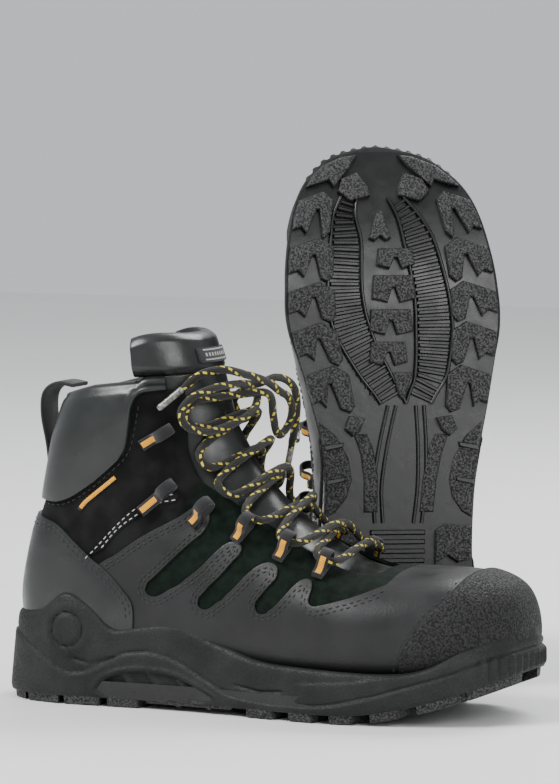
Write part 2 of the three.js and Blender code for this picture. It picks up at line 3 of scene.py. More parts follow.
import bmesh
import bpy
import numpy as np
from mathutils import Matrix, Vector
from mathutils.bvhtree import BVHTree


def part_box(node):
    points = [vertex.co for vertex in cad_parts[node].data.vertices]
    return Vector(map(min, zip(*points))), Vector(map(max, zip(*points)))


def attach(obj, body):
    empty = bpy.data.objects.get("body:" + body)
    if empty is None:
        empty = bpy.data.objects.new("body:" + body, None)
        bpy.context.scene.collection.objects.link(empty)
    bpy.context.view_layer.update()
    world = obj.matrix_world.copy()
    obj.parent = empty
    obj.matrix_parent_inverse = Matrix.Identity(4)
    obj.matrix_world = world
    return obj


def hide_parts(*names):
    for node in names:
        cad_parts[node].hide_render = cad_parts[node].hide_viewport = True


# A pair of mountaineering boots. Every piece is modelled on the right boot, in millimetres from the
# back of its heel, +X to the toe, -Y to the outer side and +Z up, then placed once for each boot.

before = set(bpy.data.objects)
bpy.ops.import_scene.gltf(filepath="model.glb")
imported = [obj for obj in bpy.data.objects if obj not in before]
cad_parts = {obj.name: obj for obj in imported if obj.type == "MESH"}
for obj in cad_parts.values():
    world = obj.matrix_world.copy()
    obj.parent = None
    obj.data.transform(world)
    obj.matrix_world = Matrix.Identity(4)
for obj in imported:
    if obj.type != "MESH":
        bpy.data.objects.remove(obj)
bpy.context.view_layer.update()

# --- sizes, as in the CAD -------------------------------------------------------------------------

LENGTH = 300
REFERENCE_LENGTH = 305
KX = LENGTH / REFERENCE_LENGTH
TREAD_DEPTH = 4.5
SOLE_TOP = 9
TOE_SPRING = 22
SPRING_FROM = 215 * KX
LACE = 4.4
THROAT_HALF = 27
THROAT_TOE = 226 * KX
LOOP_WIDTH = 6
SHANK_CENTRE = Vector((122 * KX, 0, 9.75))
LEFT_TURN = 28
LEFT_LEAN = 6.35
SAME_PLACE = 0.01

# --- where each boot stands -----------------------------------------------------------------------

SIDES = ("right", "left")


def boot_matrices():
    """From a boot's own millimetres to the frame's metres, for each boot."""
    turn = Matrix.Rotation(radians(LEFT_TURN - 90), 4, "Z")
    lean = Matrix.Rotation(radians(-90 - LEFT_LEAN), 4, "Y")
    flip = Matrix.Diagonal((1, -1, 1, 1))
    matrices = {}
    for side, turned in (("right", Matrix.Identity(4)), ("left", turn @ lean @ flip)):
        low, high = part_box(side + "_shank")
        matrix = turned @ Matrix.Scale(0.001, 4)
        matrix.translation = (low + high) / 2 - matrix.to_3x3() @ SHANK_CENTRE
        matrices[side] = matrix
    return matrices


BOOT = boot_matrices()

# --- camera ---------------------------------------------------------------------------------------

CAMERA_AIM = Vector((117.5, 88.3, 162.5))  # in the right boot's millimetres
CAMERA_ROUND = 23
CAMERA_UP = 4.7
CAMERA_AWAY = 3
CAMERA_LENS = 347


def add_camera():
    target = BOOT["right"] @ CAMERA_AIM
    azimuth, elevation = radians(CAMERA_ROUND), radians(CAMERA_UP)
    toward = Vector(
        (
            np.sin(azimuth) * np.cos(elevation),
            -np.cos(azimuth) * np.cos(elevation),
            np.sin(elevation),
        )
    )
    data = bpy.data.cameras.new("camera")
    data.sensor_fit = "HORIZONTAL"
    data.lens = CAMERA_LENS
    data.clip_end = 20
    camera = bpy.data.objects.new("camera", data)
    camera.location = target + toward * CAMERA_AWAY
    camera.rotation_euler = toward.to_track_quat("Z", "Y").to_euler()
    bpy.context.scene.collection.objects.link(camera)
    bpy.context.scene.camera = camera


add_camera()

# --- curves ---------------------------------------------------------------------------------------


def spline_at(points, share):
    """Points of a uniform Catmull-Rom spline, at shares from 0 to 1 of its number of spans."""
    points = np.asarray(points, float)
    share = np.clip(np.asarray(share, float), 0, 1)
    last = len(points) - 1
    place = share * last
    start = np.minimum(place.astype(int), last - 1)
    t = (place - start)[..., None]
    before = points[np.maximum(start - 1, 0)]
    a, b = points[start], points[start + 1]
    after = points[np.minimum(start + 2, last)]
    va, vb = (b - before) / 2, (after - a) / 2
    return (2 * a - 2 * b + va + vb) * t**3 + (-3 * a + 3 * b - 2 * va - vb) * t**2 + va * t + a


def smooth_line(points, spacing):
    """A smooth line through given points, in even steps."""
    dense = spline_at(points, np.linspace(0, 1, 40 * len(points)))
    return even_steps(dense, spacing)


def lengths_along(line):
    """The distance along a line to each of its points."""
    return np.concatenate([[0], np.cumsum(np.linalg.norm(np.diff(line, axis=0), axis=1))])


def even_steps(line, spacing):
    """A line's points again, in equal steps close to a spacing."""
    lengths = lengths_along(line)
    count = max(2, int(round(lengths[-1] / spacing)) + 1)
    at = np.linspace(0, lengths[-1], count)
    return np.stack([np.interp(at, lengths, line[:, i]) for i in range(line.shape[1])], axis=1)


def outline_distance(points, outline):
    """Signed distance of 2D points to a closed outline, positive inside."""
    outline = np.asarray(outline, float)
    a, b = outline, np.roll(outline, -1, axis=0)
    best = np.full(len(points), 1e9)
    inside = np.zeros(len(points), bool)
    for p, q in zip(a, b):
        edge = q - p
        t = np.clip(((points - p) @ edge) / max(edge @ edge, 1e-9), 0, 1)
        best = np.minimum(best, np.linalg.norm(points - (p + t[:, None] * edge), axis=1))
        spans = (p[1] > points[:, 1]) != (q[1] > points[:, 1])
        if p[1] != q[1]:
            cross = (q[0] - p[0]) * (points[:, 1] - p[1]) / (q[1] - p[1]) + p[0]
            inside ^= spans & (points[:, 0] < cross)
    return np.where(inside, best, -best)


def bump_at(distance, width):
    """1 on a line and 0 a width away from it, smoothly."""
    return np.exp(-((distance / width) ** 2))


def step_at(distance, width):
    """0 to 1 across an edge, smoothly."""
    return 0.5 + 0.5 * np.tanh(distance / width)


# --- the last: the smooth foot shape that every piece of the upper follows -------------------------

# Ridge x, z; base x, z; half width; centre's offset to the inner side; squareness above, below.
STATIONS = np.array(
    [
        [302, 44, 302, 41, 1.5, 6, 2, 2],
        [301, 55, 301, 34, 13, 6, 2.1, 2.1],
        [297.5, 64.5, 297, 30, 22, 5.5, 2.3, 2.4],
        [291, 71.5, 290, 26.5, 32, 5, 2.3, 2.6],
        [279, 76, 279, 23.5, 41.5, 4, 2.3, 2.8],
        [262, 78, 262, 21, 48.5, 2.5, 2.3, 3],
        [237, 78, 237, 19.5, 53, 1, 2.2, 3.3],
        [214, 81, 208, 18.5, 53.5, 0, 2.1, 3.5],
        [193, 91, 176, 18.5, 49.5, -1, 2, 3.5],
        [174, 105, 138, 20, 44, -2, 1.95, 3.4],
        [159, 119, 92, 21.5, 40, -2, 1.95, 3.4],
        [148, 131, 50, 23.5, 38, -1, 2, 3.4],
        [141, 141, 18, 28, 36.5, 0, 2.1, 3.2],
        [135, 151, 9, 52, 35.5, 0, 2.2, 2.9],
        [131, 161, 14, 86, 35.5, 0, 2.3, 2.6],
        [127, 171, 24, 118, 36.5, 0, 2.3, 2.4],
        [124, 180, 31, 146, 37.5, 0, 2.3, 2.3],
        [121, 190, 36, 170, 38, 0, 2.3, 2.3],
        [114, 205, 41, 190, 37, 0, 2.3, 2.3],
        [101, 224, 48, 212, 34, 0, 2.3, 2.3],
    ]
)
TOP = len(STATIONS) - 1
SCALED = STATIONS * np.array([KX, 1, KX, 1, 1, 1, 1, 1])


def skin(station, angle):
    """Points of the last: station from 0 at the toe to TOP, angle from 0 at the ridge, negative outside."""
    values = spline_at(SCALED, np.asarray(station) / TOP)
    cosine, sine = np.cos(angle), np.sin(angle)
    power = 2 / np.where(cosine > 0, values[..., 6], values[..., 7])
    along = np.sign(cosine) * np.abs(cosine) ** power
    aside = np.sign(sine) * np.abs(sine) ** power
    x = (values[..., 0] + values[..., 2]) / 2 + (values[..., 0] - values[..., 2]) / 2 * along
    y = values[..., 5] + values[..., 4] * aside
    z = (values[..., 1] + values[..., 3]) / 2 + (values[..., 1] - values[..., 3]) / 2 * along
    return np.stack([x, y, z], axis=-1)


def skin_normal(station, angle):
    along = skin(np.minimum(station + 0.08, TOP), angle) - skin(np.maximum(station - 0.08, 0.01), angle)
    across = skin(station, angle + 0.05) - skin(station, angle - 0.05)
    normal = np.cross(across, along)
    return normal / np.maximum(np.linalg.norm(normal, axis=-1, keepdims=True), 1e-9)


def off_skin(station, angle, height):
    return skin(station, angle) + skin_normal(station, angle) * np.asarray(height)[..., None]


def station_where(inside, angle, low, high):
    """For each angle, the station between two limits past which inside(points) is true."""
    low = np.full(len(angle), float(low))
    high = np.full(len(angle), float(high))
    for _ in range(24):
        middle = (low + high) / 2
        past = inside(skin(middle, angle))
        high = np.where(past, middle, high)
        low = np.where(past, low, middle)
    return (low + high) / 2


# --- meshes and pieces ----------------------------------------------------------------------------


def mesh_object(name, points, faces, uvs=None):
    mesh = bpy.data.meshes.new(name)
    mesh.from_pydata([tuple(p) for p in points], [], [tuple(int(i) for i in f) for f in faces])
    mesh.validate()
    obj = bpy.data.objects.new(name, mesh)
    bpy.context.scene.collection.objects.link(obj)
    if uvs is not None:
        layer = mesh.uv_layers.new(name="along")
        corner = np.empty(len(mesh.loops), int)
        mesh.loops.foreach_get("vertex_index", corner)
        layer.data.foreach_set("uv", np.asarray(uvs, float)[corner].ravel())
    return obj


def grid_faces(rows, columns, close_rows=False, close_columns=False, start=0):
    faces = []
    for r in range(rows if close_rows else rows - 1):
        for c in range(columns if close_columns else columns - 1):
            r2, c2 = (r + 1) % rows, (c + 1) % columns
            faces.append(
                (
                    start + r * columns + c,
                    start + r * columns + c2,
                    start + r2 * columns + c2,
                    start + r2 * columns + c,
                )
            )
    return faces


def plate_object(name, layers, rows, wide):
    """A closed plate between two layers of points, each a grid of rows by wide."""
    count = rows * wide
    faces = grid_faces(rows, wide) + grid_faces(rows, wide, start=count)
    rim = [i * wide for i in range(rows)]
    rim += [(rows - 1) * wide + i for i in range(1, wide)]
    rim += [i * wide + wide - 1 for i in range(rows - 2, -1, -1)]
    rim += [i for i in range(wide - 2, 0, -1)]
    faces += [(a, b, b + count, a + count) for a, b in zip(rim, rim[1:] + rim[:1])]
    obj = mesh_object(name, np.vstack(layers), faces)
    face_outward(obj, SAME_PLACE)
    shade(obj, 40)
    return obj


def face_outward(obj, merge=0.0):
    """Turns a mesh's faces outward, after joining corners that lie within a distance of each other."""
    work = bmesh.new()
    work.from_mesh(obj.data)
    if merge:
        bmesh.ops.remove_doubles(work, verts=work.verts, dist=merge)
    bmesh.ops.recalc_face_normals(work, faces=work.faces)
    work.to_mesh(obj.data)
    work.free()


def only(obj):
    bpy.ops.object.select_all(action="DESELECT")
    obj.select_set(True)
    bpy.context.view_layer.objects.active = obj


def add_modifier(obj, kind, **settings):
    only(obj)
    modifier = obj.modifiers.new(kind.lower(), kind)
    for key, value in settings.items():
        setattr(modifier, key, value)
    bpy.ops.object.modifier_apply(modifier=modifier.name)


def shade(obj, degrees):
    obj.data.shade_smooth()
    obj.data.set_sharp_from_angle(angle=radians(degrees))


def join(name, objects):
    bpy.ops.object.select_all(action="DESELECT")
    for obj in objects:
        obj.select_set(True)
    bpy.context.view_layer.objects.active = objects[0]
    if len(objects) > 1:
        bpy.ops.object.join()
    objects[0].name = name
    return objects[0]


made = {}  # every finished piece by its name


def place(obj, slot, material, nodes=(), body="boot"):
    """Puts a piece modelled on the right boot on both boots, and says what it rides on and replaces."""
    obj.data.materials.clear()
    for one in material if isinstance(material, (list, tuple)) else [material]:
        obj.data.materials.append(one)
    for side in SIDES:
        copy = bpy.data.objects.new(f"{side}_{obj.name}", obj.data.copy())
        copy.data.name = copy.name
        copy.data.transform(BOOT[side])
        if side == "left":
            copy.data.flip_normals()
        bpy.context.scene.collection.objects.link(copy)
        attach(copy, f"{side}_{body}")
        if nodes:
            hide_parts(*[f"{side}_{node}" for node in nodes])
        made[copy.name] = copy
    bpy.data.objects.remove(obj)


# --- materials ------------------------------------------------------------------------------------


FULL_WAVE = 6.283  # one turn in radians


class Finish:
    """A material built up from plain steps: coordinates, patterns, colour, roughness and bump."""

    def __init__(self, name, roughness=0.5, **sockets):
        self.material = bpy.data.materials.new(name)
        self.material.use_nodes = True
        self.nodes = self.material.node_tree.nodes
        self.links = self.material.node_tree.links
        self.shader = self.nodes["Principled BSDF"]
        self.shader.inputs["Roughness"].default_value = roughness
        for key, value in sockets.items():
            self.shader.inputs[key.replace("_", " ")].default_value = value
        self.place = self.nodes.new("ShaderNodeTexCoord").outputs["Object"]
        self.last_bump = None

    def node(self, kind, **settings):
        node = self.nodes.new(kind)
        for key, value in settings.items():
            setattr(node, key, value)
        return node

    def plug(self, value, socket):
        if isinstance(value, bpy.types.NodeSocket):
            self.links.new(value, socket)
        else:
            socket.default_value = value

    def math(self, operation, a, b=0.0, c=0.0):
        node = self.node("ShaderNodeMath", operation=operation)
        for value, socket in zip((a, b, c), node.inputs):
            self.plug(value, socket)
        return node.outputs[0]

    def noise(self, size, detail=3):
        """Soft cloudy pattern whose blotches are about size millimetres."""
        node = self.node("ShaderNodeTexNoise")
        self.plug(self.place, node.inputs["Vector"])
        node.inputs["Scale"].default_value = 1000 / size
        node.inputs["Detail"].default_value = detail
        return node.outputs["Fac"]

    def cells(self, size):
        """Distance to the nearest of scattered points, about size millimetres apart."""
        node = self.node("ShaderNodeTexVoronoi", feature="F1")
        self.plug(self.place, node.inputs["Vector"])
        node.inputs["Scale"].default_value = 1000 / size
        return node.outputs["Distance"]

    def ramp(self, value, low, high, to_low=0.0, to_high=1.0):
        node = self.node("ShaderNodeMapRange", interpolation_type="SMOOTHSTEP")
        for number, socket in zip((value, low, high, to_low, to_high), node.inputs):
            self.plug(number, socket)
        return node.outputs[0]

    def mix(self, share, a, b):
        node = self.node("ShaderNodeMix", data_type="RGBA")
        self.plug(share, node.inputs["Factor"])
        self.plug(a if isinstance(a, bpy.types.NodeSocket) else (*a, 1), node.inputs["A"])
        self.plug(b if isinstance(b, bpy.types.NodeSocket) else (*b, 1), node.inputs["B"])
        return node.outputs["Result"]

    def colour(self, value):
        self.plug(
            value if isinstance(value, bpy.types.NodeSocket) else (*value, 1),
            self.shader.inputs["Base Color"],
        )

    def rough(self, value):
        self.plug(value, self.shader.inputs["Roughness"])

    def bump(self, height, depth, strength=1.0):
        """Raises the surface by up to depth millimetres where height is 1."""
        node = self.node("ShaderNodeBump")
        node.inputs["Strength"].default_value = strength
        node.inputs["Distance"].default_value = depth / 1000
        self.plug(height, node.inputs["Height"])
        if self.last_bump:
            self.links.new(self.last_bump, node.inputs["Normal"])
        self.last_bump = node.outputs["Normal"]
        self.links.new(self.last_bump, self.shader.inputs["Normal"])

    def uv(self):
        split = self.node("ShaderNodeSeparateXYZ")
        self.links.new(self.node("ShaderNodeUVMap", uv_map="along").outputs["UV"], split.inputs[0])
        return split.outputs["X"], split.outputs["Y"]


def leather_finish():
    """Waxed full-grain leather: fine pebbled grain, faint creases and uneven polish."""
    f = Finish("waxed_leather", Specular_IOR_Level=0.32)
    clouds = f.noise(38, 4)
    f.colour(f.mix(f.ramp(clouds, 0.3, 0.75), (0.009, 0.009, 0.0094), (0.019, 0.019, 0.02)))
    f.rough(f.ramp(f.noise(16, 4), 0.3, 0.75, 0.4, 0.56))
    f.bump(f.cells(1.5), 0.1, 0.5)
    f.bump(f.noise(7, 5), 0.25, 0.45)
    return f.material


def nubuck_finish():
    """Brushed black nubuck: a matt nap with soft patches."""
    f = Finish("black_nubuck", 0.95, Sheen_Weight=0.04, Sheen_Roughness=0.5, Specular_IOR_Level=0.1)
    f.colour(f.mix(f.ramp(f.noise(14, 4), 0.35, 0.7), (0.005, 0.005, 0.005), (0.011, 0.011, 0.011)))
    f.bump(f.noise(0.9, 3), 0.14, 0.6)
    f.bump(f.noise(9, 3), 0.3, 0.3)
    return f.material


def window_finish():
    """Close green-black textile between the leather fingers."""
    f = Finish("window_textile", 0.9, Sheen_Weight=0.03, Specular_IOR_Level=0.1)
    f.colour(f.mix(f.ramp(f.noise(5, 3), 0.3, 0.7), (0.002, 0.005, 0.003), (0.005, 0.01, 0.007)))
    f.bump(f.cells(0.8), 0.2, 0.7)
    return f.material


def coated_finish():
    """Smooth coated leather of the collar and the tongue, with a fine grain."""
    f = Finish("coated_leather", Specular_IOR_Level=0.5)
    f.colour(f.mix(f.ramp(f.noise(30, 3), 0.3, 0.7), (0.005, 0.0065, 0.006), (0.011, 0.013, 0.0125)))
    f.rough(f.ramp(f.noise(12, 4), 0.3, 0.7, 0.26, 0.4))
    f.bump(f.cells(1.1), 0.06, 0.45)
    f.bump(f.noise(10, 4), 0.35, 0.4)
    return f.material


def sidewall_finish():
    """Moulded rubber with a fine stipple, a little polished in fine random specks."""
    f = Finish("stippled_rubber", Specular_IOR_Level=0.28)
    f.colour(f.mix(f.ramp(f.noise(22, 4), 0.3, 0.7), (0.006, 0.0065, 0.0065), (0.014, 0.0145, 0.0145)))
    f.rough(f.ramp(f.noise(0.9, 2), 0.35, 0.65, 0.5, 0.78))
    f.bump(f.noise(1.1, 2), 0.35, 0.7)
    return f.material


def bumper_finish():
    """Coarsely stippled rubber of the toe bumper."""
    f = Finish("bumper_rubber", Specular_IOR_Level=0.25)
    speck = f.noise(1.1, 2)
    f.colour(f.mix(f.ramp(speck, 0.4, 0.62), (0.006, 0.006, 0.006), (0.02, 0.02, 0.02)))
    f.rough(f.ramp(speck, 0.35, 0.65, 0.82, 0.55))
    f.bump(speck, 0.9, 0.9)
    return f.material


def tread_finish():
    """The lugs' walking faces, coarsely stippled; their pale specks are a painted highlight."""
    f = Finish("lug_rubber", Specular_IOR_Level=0.3)
    speck = f.noise(1.0, 2)
    # painted highlight: the raised specks made paler than the black rubber, for the light the matte stipple
    # catches
    f.colour(f.mix(f.ramp(speck, 0.38, 0.66), (0.008, 0.008, 0.008), (0.05, 0.05, 0.05)))
    f.rough(f.ramp(speck, 0.35, 0.65, 0.85, 0.5))
    f.bump(speck, 0.5, 0.8)
    return f.material


def gloss_finish():
    """Polished rubber between the lugs."""
    f = Finish("polished_rubber", Specular_IOR_Level=0.5)
    f.colour(f.mix(f.ramp(f.noise(25, 3), 0.3, 0.7), (0.003, 0.003, 0.003), (0.007, 0.007, 0.007)))
    f.rough(f.ramp(f.noise(11, 4), 0.3, 0.7, 0.22, 0.36))
    f.bump(f.noise(6, 3), 0.12, 0.4)
    return f.material


def webbing_finish(name="black_webbing", stripe=None):
    """Woven tape: ribs across it, and an optional coloured stripe along its middle."""
    f = Finish(name, 0.88, Sheen_Weight=0.2, Specular_IOR_Level=0.25)
    along, across = f.uv()
    ribs = f.math("SINE", f.math("MULTIPLY", along, FULL_WAVE / 0.9))
    yarns = f.math("SINE", f.math("MULTIPLY", across, FULL_WAVE / 0.7))
    weave = f.math("MULTIPLY", ribs, yarns)
    dark = f.mix(f.ramp(weave, -1, 1), (0.006, 0.006, 0.007), (0.02, 0.02, 0.022))
    if stripe:
        half, start, end = stripe
        middle = f.math("LESS_THAN", f.math("ABSOLUTE", across), half)
        begun = f.math("GREATER_THAN", along, start)
        ended = f.math("LESS_THAN", along, end)
        inside = f.math("MULTIPLY", middle, f.math("MULTIPLY", begun, ended))
        stitch = f.mix(f.ramp(ribs, -1, 0.6), (0.5, 0.2, 0.008), (0.95, 0.45, 0.03))
        dark = f.mix(inside, dark, stitch)
        f.bump(inside, 0.35)
    f.colour(dark)
    f.bump(weave, 0.16, 0.8)
    return f.material


def lace_finish():
    """Round braided lace: black, with pairs of short yellow tracer stitches winding round it."""
    f = Finish("tracer_lace", 0.85, Sheen_Weight=0.15, Specular_IOR_Level=0.3)
    along, around = f.uv()
    pitch = f.math("MULTIPLY", along, 0.42)
    left = f.math("SINE", f.math("MULTIPLY", f.math("ADD", pitch, around), FULL_WAVE * 6))
    right = f.math("SINE", f.math("MULTIPLY", f.math("SUBTRACT", pitch, around), FULL_WAVE * 6))
    braid = f.math("MULTIPLY", left, right)
    colour = f.mix(f.ramp(braid, -1, 1), (0.004, 0.0045, 0.003), (0.014, 0.0145, 0.01))
    for lane, shift in ((0.0, 0.0), (0.5, 0.5)):
        winding = f.math("SUBTRACT", around, f.math("DIVIDE", along, 30))
        turn = f.math("FRACT", f.math("ADD", winding, lane + 0.5))
        beside = f.math("LESS_THAN", f.math("ABSOLUTE", f.math("SUBTRACT", turn, 0.5)), 0.055)
        beat = f.math("FRACT", f.math("ADD", f.math("DIVIDE", along, 3.9), shift))
        dash = f.math("MULTIPLY", beside, f.math("LESS_THAN", beat, 0.55))
        colour = f.mix(dash, colour, (0.82, 0.66, 0.05))
        f.bump(dash, 0.12)
    f.colour(colour)
    f.bump(braid, 0.22, 0.8)
    return f.material


def thread_finish(name, light):
    f = Finish(name, 0.7, Sheen_Weight=0.1)
    f.colour(f.mix(f.ramp(f.noise(0.5, 1), 0.3, 0.7), [c * 0.6 for c in light], light))
    f.bump(f.noise(0.4, 1), 0.1, 0.6)
    return f.material


def lining_finish():
    f = Finish("knitted_lining", 0.95, Sheen_Weight=0.35, Specular_IOR_Level=0.2)
    f.colour(f.mix(f.ramp(f.cells(1.6), 0.1, 0.6), (0.012, 0.013, 0.013), (0.035, 0.036, 0.038)))
    f.bump(f.cells(1.6), 0.5, 0.7)
    return f.material


def footbed_finish():
    f = Finish("footbed_felt", 0.95, Sheen_Weight=0.4, Specular_IOR_Level=0.2)
    f.colour(f.mix(f.ramp(f.noise(3, 4), 0.3, 0.7), (0.03, 0.031, 0.034), (0.06, 0.062, 0.066)))
    f.bump(f.noise(0.8, 3), 0.3, 0.7)
    return f.material


def label_finish():
    """Woven label with plain pale bars, no lettering."""
    f = Finish("woven_label", 0.85, Sheen_Weight=0.2)
    along, across = f.uv()
    from_bar = f.math("SUBTRACT", f.math("ABSOLUTE", across), 2.6)
    bars = f.math("LESS_THAN", f.math("ABSOLUTE", from_bar), 0.35)
    inner = f.math("LESS_THAN", f.math("ABSOLUTE", along), 13)
    dots = f.math("LESS_THAN", f.math("FRACT", f.math("DIVIDE", along, 3)), 0.5)
    middle = f.math("LESS_THAN", f.math("ABSOLUTE", across), 0.9)
    marks = f.math("MULTIPLY", inner, f.math("MAXIMUM", bars, f.math("MULTIPLY", middle, dots)))
    f.colour(f.mix(marks, (0.008, 0.008, 0.009), (0.4, 0.4, 0.4)))
    f.bump(f.math("SINE", f.math("MULTIPLY", along, FULL_WAVE / 0.5)), 0.08, 0.6)
    return f.material


def tip_finish():
    """A clear sleeve shrunk over the lace's end."""
    f = Finish("lace_tip_sleeve", 0.22, Coat_Weight=0.6, Transmission_Weight=0.25)
    f.colour(f.mix(f.ramp(f.noise(2.5, 2), 0.35, 0.65), (0.12, 0.115, 0.1), (0.34, 0.33, 0.31)))
    f.bump(f.noise(2, 2), 0.1, 0.4)
    return f.material


def hidden_finish(name, low, high, roughness, metallic=0.0):
    f = Finish(name, roughness, Metallic=metallic)
    f.colour(f.mix(f.ramp(f.noise(6, 3), 0.3, 0.7), low, high))
    f.bump(f.noise(1, 2), 0.05, 0.4)
    return f.material


LEATHER = leather_finish()
NUBUCK = nubuck_finish()
WINDOW = window_finish()
COATED = coated_finish()
SIDEWALL = sidewall_finish()
BUMPER = bumper_finish()
TREAD = tread_finish()
GLOSS = gloss_finish()
WEBBING = webbing_finish()
LOOP_TAPE = webbing_finish("striped_webbing", stripe=(1.6, 0.6, 11.5))
ACCENT_TAPE = webbing_finish("accent_piping", stripe=(1.6, 1.5, 60))
LACE_BRAID = lace_finish()
BLACK_THREAD = thread_finish("black_thread", (0.012, 0.012, 0.012))
GREY_THREAD = thread_finish("grey_thread", (0.42, 0.43, 0.42))
LINING = lining_finish()
FELT = footbed_finish()
LABEL = label_finish()
TIP = tip_finish()
STEEL = hidden_finish("spring_steel", (0.5, 0.5, 0.52), (0.6, 0.6, 0.62), 0.35, 1.0)
STIFFENER = hidden_finish("moulded_stiffener", (0.03, 0.03, 0.03), (0.05, 0.05, 0.05), 0.6)

# --- laces ----------------------------------------------------------------------------------------

# Through each pair of loops: x, outer y, inner y, z, and the slope of the facing in degrees.
EYES = [
    [199.6, -35, 33.5, 85.3, 18],
    [177.5, -35.5, 32, 94.6, 22],
    [156.2, -34, 30, 106.4, 30],
    [138.3, -31.3, 29.2, 119.7, 40],
    [125.6, -29.7, 29.8, 134.7, 52],
    [118.3, -31.5, 31.5, 156.9, 65],
]
# Where the two runs cross over the tongue: x and z of the upper run, then of the lower one.
CROSSINGS = [
    [194.7, 101, 191.1, 96.5],
    [176.9, 115, 172.8, 110.5],
    [161.7, 130, 157.6, 125.5],
    [152, 144.5, 145.4, 139.5],
    [143.9, 160, 138.8, 157.5],
]
BOTTOM_RUN = [[208.4, -18, 88], [209.9, 0, 91], [208.4, 17, 88]]
OUTER_END_AND_INNER_BOW = [
    [114.9, -34, 173],
    [123, -29, 180.5],
    [133.2, -22, 183],
    [142.8, -12, 180],
    [150, 0, 175.5],
    [152.5, 12, 169.5],
    [153.5, 22, 165.5],
    [152.5, 29.5, 158],
    [149.4, 32, 150],
    [146.9, 27, 144.5],
    [147.9, 18, 147],
    [150, 9, 156],
    [151, 0, 169],
    [138.3, -12, 169],
    [126.6, -23, 167.5],
    [119.5, -29.5, 165.5],
]
INNER_END_AND_OUTER_BOW = [
    [146.4, 42, 136],
    [149.4, 41, 149],
    [152.5, 36, 162],
    [154, 26, 172],
    [150.5, 13, 177],
    [143.9, 0, 174],
    [139.3, -14, 175],
    [131.2, -28, 173.5],
    [122, -38, 168.5],
    [117.9, -43, 161],
    [121, -43, 154],
    [129.1, -35, 150.5],
    [139.3, -22, 154],
    [145.9, -10, 160.5],
    [144.4, 0, 166.5],
    [135.2, 13, 168.5],
    [126.1, 23, 168],
    [119.5, 29.5, 165.5],
]
PAST_LOOP = 1.8
TIP_LENGTH = 17
TIP_RADIUS = 1.85
LACE_SHRUNK = 0.985  # drawn a hair thinner than its diameter
LACE_PINCHED = 0.85  # and thinner still at its two ends


def on_boot(points):
    return np.asarray(points, float) * np.array([KX, 1, 1])


def through_eye(number, side, way):
    x, outer, inner, z, slope = EYES[number]
    reach = LOOP_WIDTH / 2 + PAST_LOOP
    run, climb = reach * np.cos(radians(slope)) / KX, reach * np.sin(radians(slope))
    y = outer if side < 0 else inner
    return [[x - end * run, y, z + end * climb] for end in (-way, way)]


def lace_route():
    """The lace from its outer tip: bow, down one loop of each pair, across, up the others, bow."""
    top = len(EYES) - 1
    route = list(OUTER_END_AND_INNER_BOW)
    side = -1
    for number in range(top, -1, -1):
        route += through_eye(number, side, -1)
        if number > 0:
            route.append([CROSSINGS[number - 1][0], 0, CROSSINGS[number - 1][1]])
        side = -side
    route += BOTTOM_RUN[::-1] if side < 0 else BOTTOM_RUN
    for number in range(top + 1):
        route += through_eye(number, side, 1)
        if number < top:
            route.append([CROSSINGS[number][2], 0, CROSSINGS[number][3]])
        side = -side
    route += INNER_END_AND_OUTER_BOW[::-1]
    return on_boot(route)


def cord_line(points, steps=7):
    """A centripetal Catmull-Rom curve, which stays close to its points."""
    points = np.vstack([2 * points[0] - points[1], points, 2 * points[-1] - points[-2]])
    line = []
    for p0, p1, p2, p3 in zip(points, points[1:], points[2:], points[3:]):
        t1 = np.linalg.norm(p1 - p0) ** 0.5
        t2 = t1 + np.linalg.norm(p2 - p1) ** 0.5
        t3 = t2 + np.linalg.norm(p3 - p2) ** 0.5
        for t in np.linspace(t1, t2, steps, endpoint=False):
            a1 = (t1 - t) / t1 * p0 + t / t1 * p1
            a2 = (t2 - t) / (t2 - t1) * p1 + (t - t1) / (t2 - t1) * p2
            a3 = (t3 - t) / (t3 - t2) * p2 + (t - t2) / (t3 - t2) * p3
            b1 = (t2 - t) / t2 * a1 + t / t2 * a2
            b2 = (t3 - t) / (t3 - t1) * a2 + (t - t1) / (t3 - t1) * a3
            line.append((t2 - t) / (t2 - t1) * b1 + (t - t1) / (t2 - t1) * b2)
    line.append(points[-2])
    return np.array(line)


def carried_frames(line):
    """A side direction along a line, carried on without twist."""
    tangents = np.gradient(line, axis=0)
    tangents /= np.linalg.norm(tangents, axis=1, keepdims=True)
    start = np.cross(tangents[0], [0.3, 0.2, 1])
    sides = [start / np.linalg.norm(start)]
    for tangent in tangents[1:]:
        side = sides[-1] - tangent * (sides[-1] @ tangent)
        sides.append(side / np.linalg.norm(side))
    return tangents, np.array(sides)


def round_tube(name, line, radii, sides=12):
    """A closed round tube along a line, with its length and turn as UV."""
    tangents, side = carried_frames(line)
    up = np.cross(tangents, side)
    turn = np.linspace(0, 2 * np.pi, sides, endpoint=False)
    ring = side[:, None] * np.cos(turn)[:, None] + up[:, None] * np.sin(turn)[:, None]
    points = (line[:, None] + ring * np.asarray(radii).reshape(-1, 1, 1)).reshape(-1, 3)
    lengths = lengths_along(line)
    faces = grid_faces(len(line), sides, close_columns=True)
    corners = []
    for near, far in zip(lengths, lengths[1:]):
        for column in range(sides):
            low, high = column / sides, (column + 1) / sides
            corners += [(near, low), (near, high), (far, high), (far, low)]
    faces.append(tuple(range(sides))[::-1])
    corners += [(0, 0)] * sides
    faces.append(tuple((len(line) - 1) * sides + i for i in range(sides)))
    corners += [(lengths[-1], 0)] * sides
    obj = mesh_object(name, points, faces)
    layer = obj.data.uv_layers.new(name="along")
    layer.data.foreach_set("uv", np.array(corners, float).ravel())
    shade(obj, 60)
    return obj


